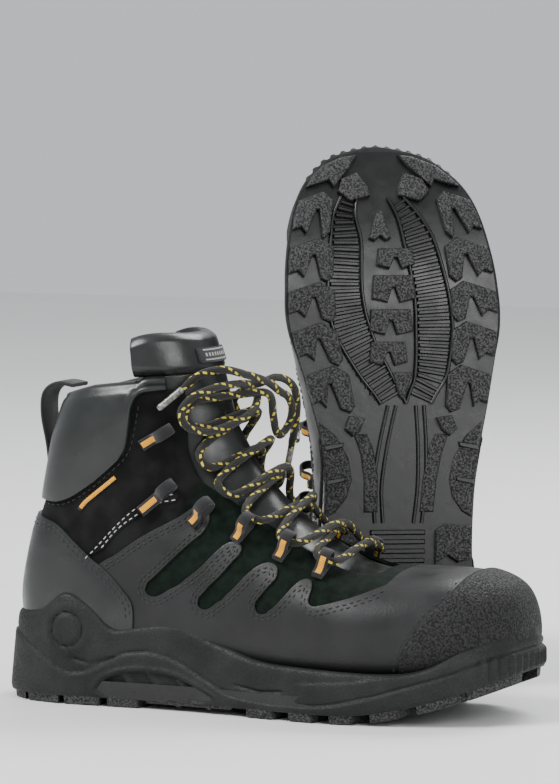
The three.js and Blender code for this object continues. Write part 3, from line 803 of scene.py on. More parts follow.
def tip_tube(name, points):
    end, before = on_boot(points[:2])
    direction = (end - before) / np.linalg.norm(end - before)
    share = np.array([0, 0.04, 0.1, 0.9, 0.97, 1])
    line = end + direction * (0.3 + share[:, None] * TIP_LENGTH)
    return round_tube(name, line, TIP_RADIUS * np.array([0.9, 1, 1, 0.97, 0.85, 0.55]), 16)


def make_laces():
    line = even_steps(cord_line(lace_route()), 1.6)
    radii = np.full(len(line), LACE / 2 * LACE_SHRUNK)
    radii[:2] *= LACE_PINCHED
    radii[-2:] *= LACE_PINCHED
    place(tip_tube("lace_tip_outer_sleeve", OUTER_END_AND_INNER_BOW), "lace_tip", TIP, ["lace_tip_outer"])
    place(tip_tube("lace_tip_inner_sleeve", INNER_END_AND_OUTER_BOW), "lace_tip", TIP, ["lace_tip_inner"])
    place(round_tube("braided_lace", line, radii), "lace", LACE_BRAID, ["lace"])


make_laces()

# --- the sole -------------------------------------------------------------------------------------

# Distance from the heel, centre's offset to the inner side, half width.
FOOTPRINT = [
    [0, 0, 0],
    [4, 0, 20],
    [14, 0, 33],
    [35, 0, 41.5],
    [60, -0.5, 42.5],
    [95, -2, 42],
    [130, -4, 43],
    [165, -3.5, 50],
    [203, -1, 58],
    [227, 0, 58],
    [247, 1, 55.8],
    [267, 2, 51.5],
    [281, 3, 45.5],
    [292, 4.5, 36.5],
    [300, 5.5, 25],
    [305, 6.5, 6],
]


def footprint_loop(spacing):
    rows = np.array(FOOTPRINT, float) * np.array([KX, 1, 1])
    outer = np.stack([rows[:, 0], rows[:, 1] - rows[:, 2]], axis=1)
    inner = np.stack([rows[1:, 0], rows[1:, 1] + rows[1:, 2]], axis=1)[::-1]
    loop = np.vstack([outer, inner, outer[:1]])
    return even_steps(spline_at(loop, np.linspace(0, 1, 1500)), spacing)[:-1]


LOOP_FINE = footprint_loop(1.5)


def footprint_at(x):
    """Centre and half width of the footprint at distances from the heel."""
    toe = int(np.argmax(LOOP_FINE[:, 0]))
    outer, inner = LOOP_FINE[: toe + 1], LOOP_FINE[toe:][::-1]
    low = np.interp(x, outer[:, 0], outer[:, 1])
    high = np.interp(x, inner[:, 0], inner[:, 1])
    return (low + high) / 2, (high - low) / 2


def ground_at(x):
    rise = np.maximum(np.asarray(x, float) - SPRING_FROM, 0) / (LENGTH - SPRING_FROM)
    return TOE_SPRING * rise**1.7


SIDEWALL_TOP = [
    [-6, 50],
    [8, 48],
    [24, 50],
    [40, 60],
    [56, 54],
    [72, 42],
    [90, 44],
    [112, 46],
    [136, 38],
    [166, 30],
    [200, 28],
    [240, 27],
    [262, 30],
    [284, 41],
    [311, 52],
]
# The moulded line where the sidewall's swell ends and the tread's wall begins.
BEAD = [
    [-5, 40], [10, 38], [22, 31], [34, 25], [48, 18], [64, 21], [80, 29], [97, 31], [114, 27],
    [130, 19], [147, 12], [168, 9.5], [200, 9.5], [225, 14], [245, 20], [268, 27], [290, 36],
    [310, 42],
]
ARCH_LEAF = [
    [65, 9], [70, 15], [82, 19.5], [98, 20.5], [114, 18.5], [130, 12], [137, 7.5], [120, 5.5],
    [98, 4.5], [76, 4.5],
]
BOSS = [47, 41]
SIDEWALL_ROWS = 40
WALL_THICK = 7
DRAFT = 0.06
DRAFT_HEIGHT = 60
DRAFT_LENGTHWISE = 0.3


def sidewall_relief(x, z, along):
    """How far the moulded sidewall stands out at each point, in millimetres."""
    bead_line = smooth_line(BEAD, 1)
    bead = np.interp(x, bead_line[:, 0], bead_line[:, 1])
    relief = 0.9 * step_at(bead - z, 0.9) - 1.1 * bump_at(z - bead, 0.9)
    boss = np.hypot(x - BOSS[0], z - BOSS[1])
    relief += 1.1 * step_at(14 - boss, 1.6) - 1.5 * bump_at(boss - 9.2, 0.8) + 0.5 * step_at(8 - boss, 1)
    leaf = smooth_line(ARCH_LEAF + ARCH_LEAF[:1], 1.5)[:-1]
    inside = outline_distance(np.stack([x, z], axis=1), leaf)
    relief -= 2.6 * step_at(inside - 0.8, 0.6)
    relief += 0.9 * bump_at(inside + 1.4, 1)
    for start in (86, 102, 118):
        slant = (x - start) - (12 - z) * 0.75
        relief += np.where(inside > 1, 2.0 * bump_at(slant, 1.7), 0)
    groove_line = np.interp(x, [50, 62, 76], [25.5, 23, 27])
    groove = bump_at(z - groove_line, 0.9) * step_at(x - 50, 1) * step_at(76 - x, 1)
    front_line = np.interp(x, [150, 165, 180], [17, 14.5, 15.5])
    groove += bump_at(z - front_line, 0.9) * step_at(x - 150, 1) * step_at(180 - x, 1)
    relief -= 1.2 * groove
    ledge = np.interp(x, [185, 220, 242, 270, 292, 305], [20, 22.5, 26.5, 33, 40, 46])
    relief += 0.9 * step_at(x - 190, 6) * step_at(ledge - z, 0.7)
    heel_lines = bump_at(np.abs(along) - (z - 30) * 0.9, 1.1) * step_at(10 - x, 1.5)
    heel_lines *= step_at(z - 29, 1) * step_at(42 - z, 1)
    relief -= 1.0 * heel_lines
    toe = step_at(x - 283, 1.5) * step_at(z - ground_at(x) - 7, 0.8) * step_at(36 - z, 0.8)
    ribs = np.cos(along * 2 * np.pi / 6.2)
    relief += toe * 0.9 * np.clip(ribs * 1.8, -1, 1)
    return relief


def drawn_in(outline, z):
    """The footprint at a height of the wall: narrower upwards, with the toe end upright."""
    drawn = DRAFT * z / DRAFT_HEIGHT
    x = outline[:, 0] + (LENGTH - outline[:, 0]) * drawn * DRAFT_LENGTHWISE
    return x, outline[:, 1] * (1 - drawn)


def make_sidewall():
    """The moulded wall round the sole: out, over its top edge, and down behind the leather."""
    outline = LOOP_FINE
    tangent = np.roll(outline, -1, axis=0) - np.roll(outline, 1, axis=0)
    outward = np.stack([tangent[:, 1], -tangent[:, 0]], axis=1)
    outward /= np.linalg.norm(outward, axis=1, keepdims=True)
    toe = int(np.argmax(outline[:, 0]))
    steps = np.linalg.norm(np.roll(outline, -1, axis=0) - outline, axis=1)
    lengths = np.concatenate([[0], np.cumsum(steps)[:-1]])
    total = steps.sum()
    from_toe = lengths - lengths[toe]
    from_heel = np.where(lengths > total / 2, lengths - total, lengths)
    along = np.where(outline[:, 0] > 150, from_toe, from_heel)
    top_line = smooth_line(SIDEWALL_TOP, 1)
    rows = []
    top = np.interp(outline[:, 0], top_line[:, 0] * KX, top_line[:, 1])
    bottom = ground_at(outline[:, 0]) + TREAD_DEPTH + 0.6
    for share in np.linspace(0, 1, SIDEWALL_ROWS):
        z = bottom + (top - bottom) * share
        x, y = drawn_in(outline, z)
        relief = sidewall_relief(x, z, along)
        relief -= 1.6 * np.exp(-(top - z) / 1.3) + 0.8 * np.exp(-(z - bottom) / 1.2)
        rows.append(np.stack([x + outward[:, 0] * relief, y + outward[:, 1] * relief, z], axis=1))
    for inset, drop in ((3.2, -0.5), (4.6, -0.2), (6, 1.5), (7, 6)):
        z = top - drop
        x, y = drawn_in(outline, z)
        rows.append(np.stack([x - outward[:, 0] * inset, y - outward[:, 1] * inset, z], axis=1))
    base = outline - outward * WALL_THICK
    rows.append(np.stack([base[:, 0], base[:, 1], ground_at(base[:, 0]) + SOLE_TOP + 4], axis=1))
    rows.append(np.stack([base[:, 0], base[:, 1], ground_at(base[:, 0]) + TREAD_DEPTH + 1.5], axis=1))
    faces = grid_faces(len(rows), len(outline), close_rows=True, close_columns=True)
    obj = mesh_object("sidewall", np.vstack(rows), faces)
    face_outward(obj, SAME_PLACE)
    shade(obj, 60)
    place(obj, "sole_rubber", SIDEWALL, ["midsole"])


def make_tread_base():
    """The polished plate behind the lugs."""
    columns = np.linspace(1.2, LENGTH - 1.2, 110)
    across = np.linspace(-1, 1, 15)
    centre, half = footprint_at(columns)
    half = np.maximum(half - 0.4, 1)
    layers = []
    for lift in (TREAD_DEPTH + 0.3, SOLE_TOP + 5):
        x = np.repeat(columns[:, None], len(across), axis=1)
        y = centre[:, None] + half[:, None] * across
        z = ground_at(x) + lift
        layers.append(np.stack([x, y, z], axis=-1).reshape(-1, 3))
    obj = plate_object("tread_base", layers, len(columns), len(across))
    place(obj, "sole_rubber", GLOSS, ["outsole"])


def lug(outline, depth=TREAD_DEPTH, rim=1.0, lift=0.0):
    """One lug from its outline of x, y points: a bevelled block that ends on the walking surface."""
    outline = np.asarray(outline, float)
    area = np.sum(outline[:, 0] * np.roll(outline[:, 1], -1) - outline[:, 1] * np.roll(outline[:, 0], -1))
    if area < 0:
        outline = outline[::-1]
    edge = np.roll(outline, -1, axis=0) - outline
    edge /= np.maximum(np.linalg.norm(edge, axis=1, keepdims=True), 1e-6)
    inward = np.stack([-edge[:, 1], edge[:, 0]], axis=1)
    corner = inward + np.roll(inward, 1, axis=0)
    corner /= np.maximum(np.linalg.norm(corner, axis=1, keepdims=True), 0.4)
    count = len(outline)
    rings = []
    for inset, height in ((-0.5, depth + 1.2), (0.1, rim * 0.9), (0.35, rim * 0.35), (rim, 0.0)):
        xy = outline + corner * inset
        rings.append(np.column_stack([xy, ground_at(xy[:, 0]) + lift + height]))
    faces = grid_faces(len(rings), count, close_columns=True)
    faces += [tuple(range(count)), tuple(range(3 * count, 4 * count))[::-1]]
    return np.vstack(rings), faces


def lugs_object(name, outlines, **settings):
    points, faces = [], []
    for outline in outlines:
        more_points, more_faces = lug(outline, **settings)
        faces += [tuple(i + len(points) for i in face) for face in more_faces]
        points += list(more_points)
    obj = mesh_object(name, points, faces)
    face_outward(obj)
    return obj


def across_sole(side, pairs):
    """x and share of the half width to x, y on one side of the sole."""
    x = np.array([p[0] for p in pairs], float)
    share = np.array([p[1] for p in pairs], float)
    centre, half = footprint_at(x)
    return np.stack([x, centre + side * share * half], axis=1)


# Toe edge, heel edge and inner edge of each rim lug, as distance from the heel and share of width.
RIM_LUGS = [
    (275, 252, 0.6),
    (248.5, 227.5, 0.56),
    (224, 205, 0.55),
    (201.5, 181, 0.55),
    (177.5, 155, 0.52),
]
PADS = [(244, 233, 10.5), (229, 214, 12), (210, 196, 12), (192, 179, 10.5)]
CHANNEL = [
    (273, 9.5, 13), (262, 7.5, 18), (247, 4.5, 20.5), (219, 2.2, 24), (197, -0.6, 22.5),
    (174, -5.6, 15.5), (164, -6.6, 10), (158, -7, 7),
]


# Each side's other lugs, at the toe, the heel and the waist, as pairs like those of across_sole.
SIDE_LUGS = [
    [(279, 0.62), (283, 0.72), (279, 0.97), (285, 0.98), (291, 0.97), (296, 0.86)]
    + [(297, 0.6), (290, 0.5)],
    [(287, 0.36), (283.5, 0.56), (276.5, 0.56), (271, 0.4), (274, 0.17), (279, 0.2)],
    [(88, 0.5), (91, 0.62), (90, 0.97), (72, 0.985), (70, 0.8), (74, 0.66), (69, 0.5)],
    [(65, 0.5), (67, 0.98), (46, 0.985), (44, 0.78), (49, 0.66), (44, 0.5)],
    [(40, 0.5), (42, 0.98), (22, 0.97), (20, 0.7), (25, 0.56), (21, 0.5)],
    [(16, 0.3), (18, 0.9), (9, 0.86), (5, 0.6), (4.5, 0.3)],
    [(150, 0.42), (151, 0.6), (144, 0.68), (140, 0.6), (143, 0.5)],
]


def rim_lug(side, toe, heel, inner):
    """A rim lug with a slanted toe edge and an arrow-shaped notch in its heel edge."""
    notch = heel + (toe - heel) * 0.62
    pairs = [(toe - 3.5, inner), (toe + 1.5, inner + 0.14), (toe - 4, 0.985)]
    pairs += [((toe + heel) / 2 - 1, 0.99), (heel + 3, 0.985), (heel + 4.5, 0.9), (heel + 1, 0.84)]
    pairs += [(notch, 0.765), (notch, 0.735), (heel, 0.68), (heel - 2, inner + 0.06), (heel + 1.5, inner)]
    return across_sole(side, pairs)


def make_lugs():
    outlines = []
    for side in (-1, 1):
        outlines += [rim_lug(side, *row) for row in RIM_LUGS]
        outlines += [across_sole(side, pairs) for pairs in SIDE_LUGS]
    for toe, heel, half in PADS:
        y = (197 - (toe + heel) / 2) * 0.09 + 1.5
        notch = heel + (toe - heel) * 0.55
        outline = [(toe, y - half * 0.9), (toe, y + half * 0.9), (heel + 2, y + half), (heel, y + 3.5)]
        outline += [(notch, y + 0.8), (notch, y - 0.8), (heel, y - 3.5), (heel + 2, y - half)]
        outlines.append(outline)
    outlines.append([(265, 7.5), (265, 4.5), (250, 0), (249, 3), (251.5, 6), (249, 9), (250, 12)])
    outlines.append([(175, 0.5), (175, -10.5), (163, -7), (160, -5), (163, -2.5)])
    obj = lugs_object("rim_lugs", outlines)
    shade(obj, 30)
    place(obj, "sole_rubber", TREAD)


def make_channel_ribs():
    """Ribbed bands that let the forefoot flex, with a raised bead along each side."""
    path = smooth_line([(x, middle, half) for x, middle, half in CHANNEL], 3.9)
    blocks, beads = [], []
    for side in (-1, 1):
        offset = path[:, 1] + side * path[:, 2]
        width = np.interp(path[:, 0], [158, 175, 200, 250, 273], [5.5, 7.5, 8.8, 7, 3])
        for i in range(1, len(path) - 1):
            x, y, w = path[i, 0], offset[i], width[i]
            lean = (offset[i + 1] - offset[i - 1]) / (path[i + 1, 0] - path[i - 1, 0])
            corners = ((-1.05, -w), (1.05, -w), (1.05, w), (-1.05, w))
            blocks.append([(x + dx - lean * dy, y + dy) for dx, dy in corners])
        for edge in (-1, 1):
            line = np.column_stack([path[:, 0], offset + edge * (width + 1.5)])
            line = smooth_line(line, 4)
            beads.append(np.column_stack([line, ground_at(line[:, 0]) + 2.4]))
    for x in np.arange(14, 92, 5.2):
        centre, half = footprint_at(np.array([x]))
        w = 0.36 * half[0]
        corners = ((-1.3, -w), (1.3, -w), (1.3, w), (-1.3, w))
        blocks.append([(x + dx, centre[0] + dy) for dx, dy in corners])
    ribs = lugs_object("flex_ribs", blocks, depth=2.4, rim=0.6, lift=2.3)
    shade(ribs, 30)
    place(ribs, "sole_rubber", GLOSS)
    tubes = [round_tube(f"bead_{i}", line, np.full(len(line), 0.95), 8) for i, line in enumerate(beads)]
    tubes += [waist_bead(side, start) for side in (-1, 1) for start in (5.5, 10)]
    beads_object = join("tread_beads", tubes)
    place(beads_object, "sole_rubber", GLOSS)


def waist_bead(side, start):
    """One of the raised lines that run through the waist to the heel."""
    course = [(157, -7, 0), (135, -5, 3), (112, -3, 4.5), (92, -2, 3)]
    line = smooth_line([(x, middle + side * (start + wider)) for x, middle, wider in course], 4)
    line = np.column_stack([line, ground_at(line[:, 0]) + TREAD_DEPTH])
    return round_tube("waist_bead", line, np.full(len(line), 1.1), 8)


def make_waist_panels():
    """Stippled half-moon panels under the arch, with slanted ribs."""
    outlines = []
    for side in (-1, 1):
        moon = [
            (148, 0.97), (140, 0.8), (128, 0.68), (116, 0.64), (106, 0.7), (98, 0.84), (95, 0.97),
            (120, 0.99),
        ]
        outlines.append(across_sole(side, moon))
        inner_strip = [
            (141, 0.58), (130, 0.52), (116, 0.48), (98, 0.46), (98, 0.28), (118, 0.3), (134, 0.36),
            (141, 0.42),
        ]
        outlines.append(across_sole(side, inner_strip))
    panels = lugs_object("waist_panels", outlines, depth=1.5, rim=0.8, lift=3.2)
    shade(panels, 30)
    place(panels, "sole_rubber", TREAD)
    ribs = []
    for side in (-1, 1):
        for x in (132, 113):
            ribs.append(across_sole(side, [(x, 0.97), (x + 2, 0.74), (x + 4.5, 0.72), (x + 3, 0.97)]))
    bars = lugs_object("waist_ribs", ribs, depth=2, rim=0.6, lift=2.2)
    shade(bars, 30)
    place(bars, "sole_rubber", GLOSS)


make_sidewall()
make_tread_base()
make_lugs()
make_channel_ribs()
make_waist_panels()

# --- the upper ------------------------------------------------------------------------------------

RIM = [[-30, 168], [34, 168], [60, 174], [100, 178], [124, 181], [170, 181]]
COLLAR_SEAM = [
    [-30, 112], [26, 109], [43, 110], [58, 118], [71, 128], [81, 138], [85, 150], [88, 165],
    [101, 171], [170, 172],
]
# Cut-outs of the leather overlay, from the heel panel to the forefoot: four fingers and their gaps.
OVERLAY_EDGE = [
    [50, 62], [65, 76], [77, 83], [89, 91], [100, 97], [112, 103], [121, 109], [126, 110], [130, 106],
    [131, 102], [128, 96], [122, 91], [113, 83], [102, 73], [96, 68], [95, 65], [97, 62], [102, 61],
    [108, 64], [121, 72], [129, 78], [137, 86], [143, 91], [148, 92], [151, 91], [152, 87], [148, 82],
    [140, 73], [132, 66], [128, 61], [129, 57], [134, 56], [140, 60], [149, 67], [157, 75], [163, 80],
    [169, 82], [174, 80], [175, 75], [172, 71], [167, 65], [164, 61], [166, 57], [171, 57], [176, 60],
    [181, 65], [186, 71], [190, 74], [194, 74], [196, 71], [196, 67], [196, 63], [199, 61], [205, 62],
    [213, 64], [220, 66], [228, 69], [235, 72],
]
HEEL_EDGE = [
    [-30, 101], [14, 101], [26, 100], [39, 97], [52, 87], [62, 79], [71, 73], [81, 64], [87, 57],
    [88, 49], [87, 40],
]
BUMPER_EDGE = [[246, 28], [249, 38], [256, 50], [263, 59], [269, 65], [274, 76]]
STRIP_UPPER = [[57, 80], [63, 86], [77, 100], [88, 109], [98, 114.5], [110, 117]]
STRIP_LOWER = [[110, 112], [99, 109.5], [88, 103], [77, 95], [68, 85]]
ORANGE_BAR = [[53, 105.5], [57, 110], [66, 117], [75, 124]]
FACING_ROUND = 13
OVERLAY_HIGH = 1.2
RIM_SOFT = 4
TONGUE_HALF = 34


def scaled_line(points, spacing=2.5):
    return smooth_line(np.asarray(points, float) * np.array([KX, 1]), spacing)


def side_region(edge, closing, spacing=2.5):
    """Signed distance of 3D points to a side-view outline: a smooth edge and the corners that close it."""
    outline = np.vstack([scaled_line(edge, spacing), np.asarray(closing, float).reshape(-1, 2)])
    return lambda p: outline_distance(p[:, [0, 2]], outline)


in_collar = side_region(COLLAR_SEAM, [[170, 330], [-30, 330]])
in_overlay = side_region(OVERLAY_EDGE, [[238, 95], [330, 95], [330, 8], [40, 8]], 1.5)
in_heel = side_region(HEEL_EDGE, [[86, 8], [-30, 8]])
in_bumper = side_region(BUMPER_EDGE, [[278, 110], [330, 110], [330, 12], [246, 12]])
in_strip = side_region(STRIP_UPPER + STRIP_LOWER, [], 2)


def off_throat(p, angle):
    """Signed distance from the edge of the gap between the facings, positive on the leather."""
    across = np.abs(p[:, 1]) - (THROAT_HALF - FACING_ROUND)
    ahead = p[:, 0] - (THROAT_TOE - FACING_ROUND)
    corner = np.hypot(np.maximum(across, 0), np.maximum(ahead, 0))
    distance = corner + np.minimum(np.maximum(across, ahead), 0) - FACING_ROUND
    return np.where(np.abs(angle) < np.pi / 2, distance, 30)


def below_rim(p):
    return np.interp(p[:, 0], np.array(RIM)[:, 0] * KX, np.array(RIM)[:, 1]) - p[:, 2]


def above_sole(p, sunk=8):
    top = smooth_line(SIDEWALL_TOP, 1)
    return p[:, 2] - np.interp(p[:, 0], top[:, 0] * KX, top[:, 1]) + sunk


def clipped_grid(values, rows, columns, closed):
    """Faces of a grid cut where values pass zero: kept corners, cut edges (a, b, share) and faces."""
    faces, cuts, index = [], [], {}
    count = rows * columns

    def crossing(a, b):
        key = (min(a, b), max(a, b))
        if key not in index:
            share = values[key[0]] / (values[key[0]] - values[key[1]])
            index[key] = count + len(cuts)
            cuts.append((key[0], key[1], min(max(share, 0.02), 0.98)))
        return index[key]

    for row in range(rows - 1):
        for column in range(columns if closed else columns - 1):
            after = (column + 1) % columns
            corners = [row * columns + column, row * columns + after]
            corners += [(row + 1) * columns + after, (row + 1) * columns + column]
            kept = [values[c] > 0 for c in corners]
            if all(kept):
                faces.append(tuple(corners))
            elif any(kept):
                face = []
                for i in range(4):
                    a, b = corners[i], corners[(i + 1) % 4]
                    if kept[i]:
                        face.append(a)
                    if kept[i] != kept[(i + 1) % 4]:
                        face.append(crossing(a, b))
                if len(face) > 2:
                    faces.append(tuple(face))
    return faces, cuts


def panel(name, inside, high, low, stations, angles, closed=False, bevel=0.35):
    """A sheet on the last with thickness: the part of a grid where inside(points, angles) is positive."""
    station, angle = np.meshgrid(stations, angles, indexing="ij")
    rows, columns = station.shape
    station, angle = station.ravel(), angle.ravel()
    values = inside(skin(station, angle), angle)
    faces, cuts = clipped_grid(values, rows, columns, closed)
    if cuts:
        a, b, share = (np.array(v) for v in zip(*cuts))
        turn = (angle[b] - angle[a] + np.pi) % (2 * np.pi) - np.pi
        cut_station = station[a] + (station[b] - station[a]) * share
        station = np.concatenate([station, cut_station])
        angle = np.concatenate([angle, angle[a] + turn * share])
        values = np.concatenate([values, np.zeros(len(cuts))])
    used = sorted({i for face in faces for i in face})
    number = {old: new for new, old in enumerate(used)}
    faces = [tuple(number[i] for i in face) for face in faces]
    station, angle, values = station[used], angle[used], values[used]
    points = skin(station, angle)
    normal = skin_normal(station, angle)
    top = high(points, values) if callable(high) else np.full(len(used), float(high))
    bottom = low(points, values) if callable(low) else np.full(len(used), float(low))
    outer = points + normal * top[:, None]
    inner = points + normal * bottom[:, None]
    edges = {}
    for face in faces:
        for i in range(len(face)):
            a, b = face[i], face[(i + 1) % len(face)]
            edges[(a, b)] = edges.get((a, b), 0) + 1
    count = len(used)
    solid = list(faces) + [tuple(i + count for i in face[::-1]) for face in faces]
    solid += [(b, a, a + count, b + count) for a, b in edges if (b, a) not in edges]
    obj = mesh_object(name, np.vstack([outer, inner]), solid)
    face_outward(obj, SAME_PLACE)
    if bevel:
        add_modifier(obj, "BEVEL", width=bevel, segments=2, limit_method="ANGLE", angle_limit=radians(50))
    shade(obj, 45)
    return obj


FULL_TURN = np.linspace(-np.pi, np.pi, 181)[:-1]
UPPER_ROWS = np.linspace(0.03, TOP, 270)
targets = []


def remember(obj):
    """Keeps a panel's outside for stitches to be sewn to."""
    targets.append(BVHTree.FromObject(obj, bpy.context.evaluated_depsgraph_get()))
    return obj


def wrinkles(p, size):
    """A slow uneven swell over leather, in millimetres either way of nothing."""
    x, y, z = (p / size).T
    return np.sin(x * 1.3 + 0.7 * np.sin(z * 0.9)) * np.cos(z * 1.1 + 0.5 * y) * np.cos(y * 0.8 + x * 0.3)


def make_upper():
    windows = side_region(
        [[92, 60], [120, 118], [135, 119], [152, 104], [178, 94], [200, 84], [236, 78]],
        [[236, 50], [92, 50]],
    )
    base = panel(
        "upper_base",
        lambda p, a: np.minimum.reduce(
            [-in_collar(p) + 0.6, off_throat(p, a), above_sole(p, 10), below_rim(p) - 1],
        ),
        lambda p, d: 0.25 * wrinkles(p, 9) * np.clip(d / 6, 0, 1),
        -1.8,
        UPPER_ROWS,
        FULL_TURN,
        closed=True,
    )
    centres = np.array([face.center for face in base.data.polygons])
    material_of = (windows(centres) > 0).astype(int)
    place(remember(base), "leather", [NUBUCK, WINDOW], ["vamp"])
    for side in SIDES:
        made[f"{side}_upper_base"].data.polygons.foreach_set("material_index", material_of)
    overlay = panel(
        "leather_overlay",
        lambda p, a: np.minimum.reduce([in_overlay(p), off_throat(p, a) - 1.5, above_sole(p)]),
        lambda p, d: OVERLAY_HIGH + 0.22 * wrinkles(p, 14) * np.clip(d / 8, 0, 1),
        -0.4,
        np.linspace(0.03, 13.5, 300),
        FULL_TURN,
        closed=True,
    )
    place(remember(overlay), "leather", LEATHER)
    strip = panel(
        "ankle_strip",
        lambda p, a: np.minimum(in_strip(p), off_throat(p, a) - 1),
        0.9,
        -0.3,
        np.linspace(9, 14, 120),
        FULL_TURN,
        closed=True,
    )
    place(remember(strip), "leather", NUBUCK)
    heel = panel(
        "heel_cover",
        lambda p, a: np.minimum.reduce(
            [in_heel(p), above_sole(p), np.abs(a) - np.pi / 2 + (p[:, 0] < 95) * 9],
        ),
        lambda p, d: 1.9 + 0.5 * np.clip(d / 12, 0, 1) + 0.15 * wrinkles(p, 18) * np.clip(d / 8, 0, 1),
        -1.8,
        np.linspace(8.5, 16, 150),
        FULL_TURN,
        closed=True,
    )
    place(remember(heel), "coated_leather", COATED, ["heel_panel"])
    bumper = panel(
        "toe_rubber",
        lambda p, a: np.minimum(in_bumper(p), above_sole(p, 6)),
        lambda p, d: 1.6 + 1.2 * np.clip(d / 2.5, 0, 1) ** 0.5,
        -0.2,
        np.linspace(0.03, 7, 130),
        FULL_TURN,
        closed=True,
        bevel=0.5,
    )
    place(remember(bumper), "bumper_rubber", BUMPER, ["toe_bumper"])


def make_collar():
    """The padded ring: from its seam over the rim and down inside, open at the tongue."""
    reach = np.pi - 1.02
    turn = np.pi + np.linspace(-reach, reach, 150)
    seam = station_where(lambda p: in_collar(p) > 0, turn, 9, TOP)
    rim = station_where(lambda p: below_rim(p) < RIM_SOFT, turn, 12, TOP)
    rim = np.maximum(rim, seam + 0.35)
    rows = []
    for share in np.linspace(0, 1, 26):
        station = seam + (rim - seam) * share
        padding = 0.8 + 4.4 * np.sin(np.pi * min(share * 0.94 + 0.06, 1)) ** 0.6
        height = padding + 0.35 * wrinkles(skin(station, turn), 7)
        rows.append(off_skin(station, turn, height))
    over = rows[-1]
    inside = off_skin(rim, turn, np.full(len(turn), -9.0))
    for share in np.linspace(0.12, 0.88, 7):
        lift = 3.6 * np.sin(np.pi * share)
        point = over + (inside - over) * (0.5 - 0.5 * np.cos(np.pi * share))
        rows.append(point + np.array([0.0, 0.0, 1.0]) * lift)
    rows.append(inside)
    for share in (0.25, 0.5, 0.75, 1.0):
        station = rim + (seam - rim) * share
        depth = -9 - 1.5 * np.sin(np.pi * share) + (4.5 if share == 1 else 0)
        rows.append(off_skin(station, turn, np.full(len(turn), depth)))
    count = len(turn)
    faces = grid_faces(len(rows), count, close_rows=True)
    faces += [tuple(r * count for r in range(len(rows)))]
    faces += [tuple(r * count + count - 1 for r in range(len(rows)))[::-1]]
    obj = mesh_object("padded_collar", np.vstack(rows), faces)
    face_outward(obj, SAME_PLACE)
    shade(obj, 60)
    place(remember(obj), "coated_leather", COATED, ["collar"])


def front_half(angle):
    """Positive on the front of the last, where the tongue lies."""
    return 20 - 20 * np.abs(angle) / 1.5


def swell(distance, reach):
    """0 at an edge to 1 a reach inside it, rounded like the edge of a pad."""
    return np.clip(distance / reach, 0, 1) ** 0.5


def make_inside():
    lining = panel(
        "inner_lining",
        lambda p, a: np.minimum.reduce([-in_collar(p) + 4, off_throat(p, a) - 9]),
        -3.4,
        -5.2,
        np.linspace(2, TOP, 120),
        np.linspace(-np.pi, np.pi, 91)[:-1],
        closed=True,
        bevel=0,
    )
    place(lining, "lining_fabric", LINING, ["lining"])
    tongue = panel(
        "tongue_body",
        lambda p, a: np.minimum.reduce(
            [TONGUE_HALF - np.abs(p[:, 1]), front_half(a), THROAT_TOE + 5 - p[:, 0], below_rim(p)]
        ),
        lambda p, d: -5 + 2.4 * swell(TONGUE_HALF - np.abs(p[:, 1]), 9) + 0.5 * wrinkles(p, 8),
        -8,
        np.linspace(6.6, TOP, 150),
        np.linspace(-1.45, 1.45, 70),
    )
    place(tongue, "tongue_fabric", COATED, ["tongue"])
    arch = [[112 + 50 * np.cos(t), 178 + 27 * np.sin(t)] for t in np.linspace(0, np.pi, 30)]
    in_dome = side_region(arch, [], 2)
    flap = panel(
        "tongue_flap",
        lambda p, a: np.minimum.reduce([in_dome(p), -below_rim(p) - 0.3, front_half(a)]),
        lambda p, d: -7 + 5.2 * swell(in_dome(p), 6) + 0.25 * wrinkles(p, 8),
        lambda p, d: -8 - 1.8 * swell(in_dome(p), 6),
        np.linspace(14.5, TOP, 90),
        np.linspace(-1.45, 1.45, 80),
    )
    place(flap, "tongue_fabric", COATED, ["tongue_top"], body="tongue_top")
    label = panel(
        "flap_label",
        lambda p, a: np.minimum.reduce([17 - np.abs(p[:, 1]), p[:, 2] - 186, 194 - p[:, 2], front_half(a)]),
        -0.6,
        -2.4,
        np.linspace(16, 18.9, 60),
        np.linspace(-0.9, 0.9, 60),
    )
    layer = label.data.uv_layers.new(name="along")
    corners = [label.data.vertices[loop.vertex_index].co for loop in label.data.loops]
    layer.data.foreach_set("uv", [value for co in corners for value in (co.y, co.z - 190)])
    place(label, "webbing", LABEL, ["tongue_label"], body="tongue_top")


def make_footbed():
    rows, wide = 70, 17
    x = np.linspace(14, 284, rows)
    foot = SCALED[:14][np.argsort(SCALED[:14, 2])]
    half = np.interp(x, foot[:, 2], foot[:, 4]) * 0.9 - 6
    half *= np.clip((x - 4) / 30, 0, 1) ** 0.4
    centre = np.interp(x, foot[:, 2], foot[:, 5])
    z = np.interp(x, [0, 40, 110, 200, 250, 286], [41, 36, 32, 28, 29, 34])
    across = np.linspace(-1, 1, wide)
    layers = []
    for drop, drawn in ((0, 1), (4.5, 0.94)):
        cup = 3.5 * np.abs(across) ** 3 * (drop == 0)
        y = centre[:, None] + half[:, None] * across * drawn
        layer = np.stack([np.repeat(x[:, None], wide, axis=1), y, z[:, None] - drop + cup], axis=-1)
        layers.append(layer.reshape(-1, 3))
    obj = plate_object("felt_footbed", layers, rows, wide)
    place(obj, "footbed_foam", FELT, ["footbed"], body="footbed")


make_upper()
make_collar()
make_inside()
make_footbed()

# --- webbing loops, pull loop, stitches -----------------------------------------------------------

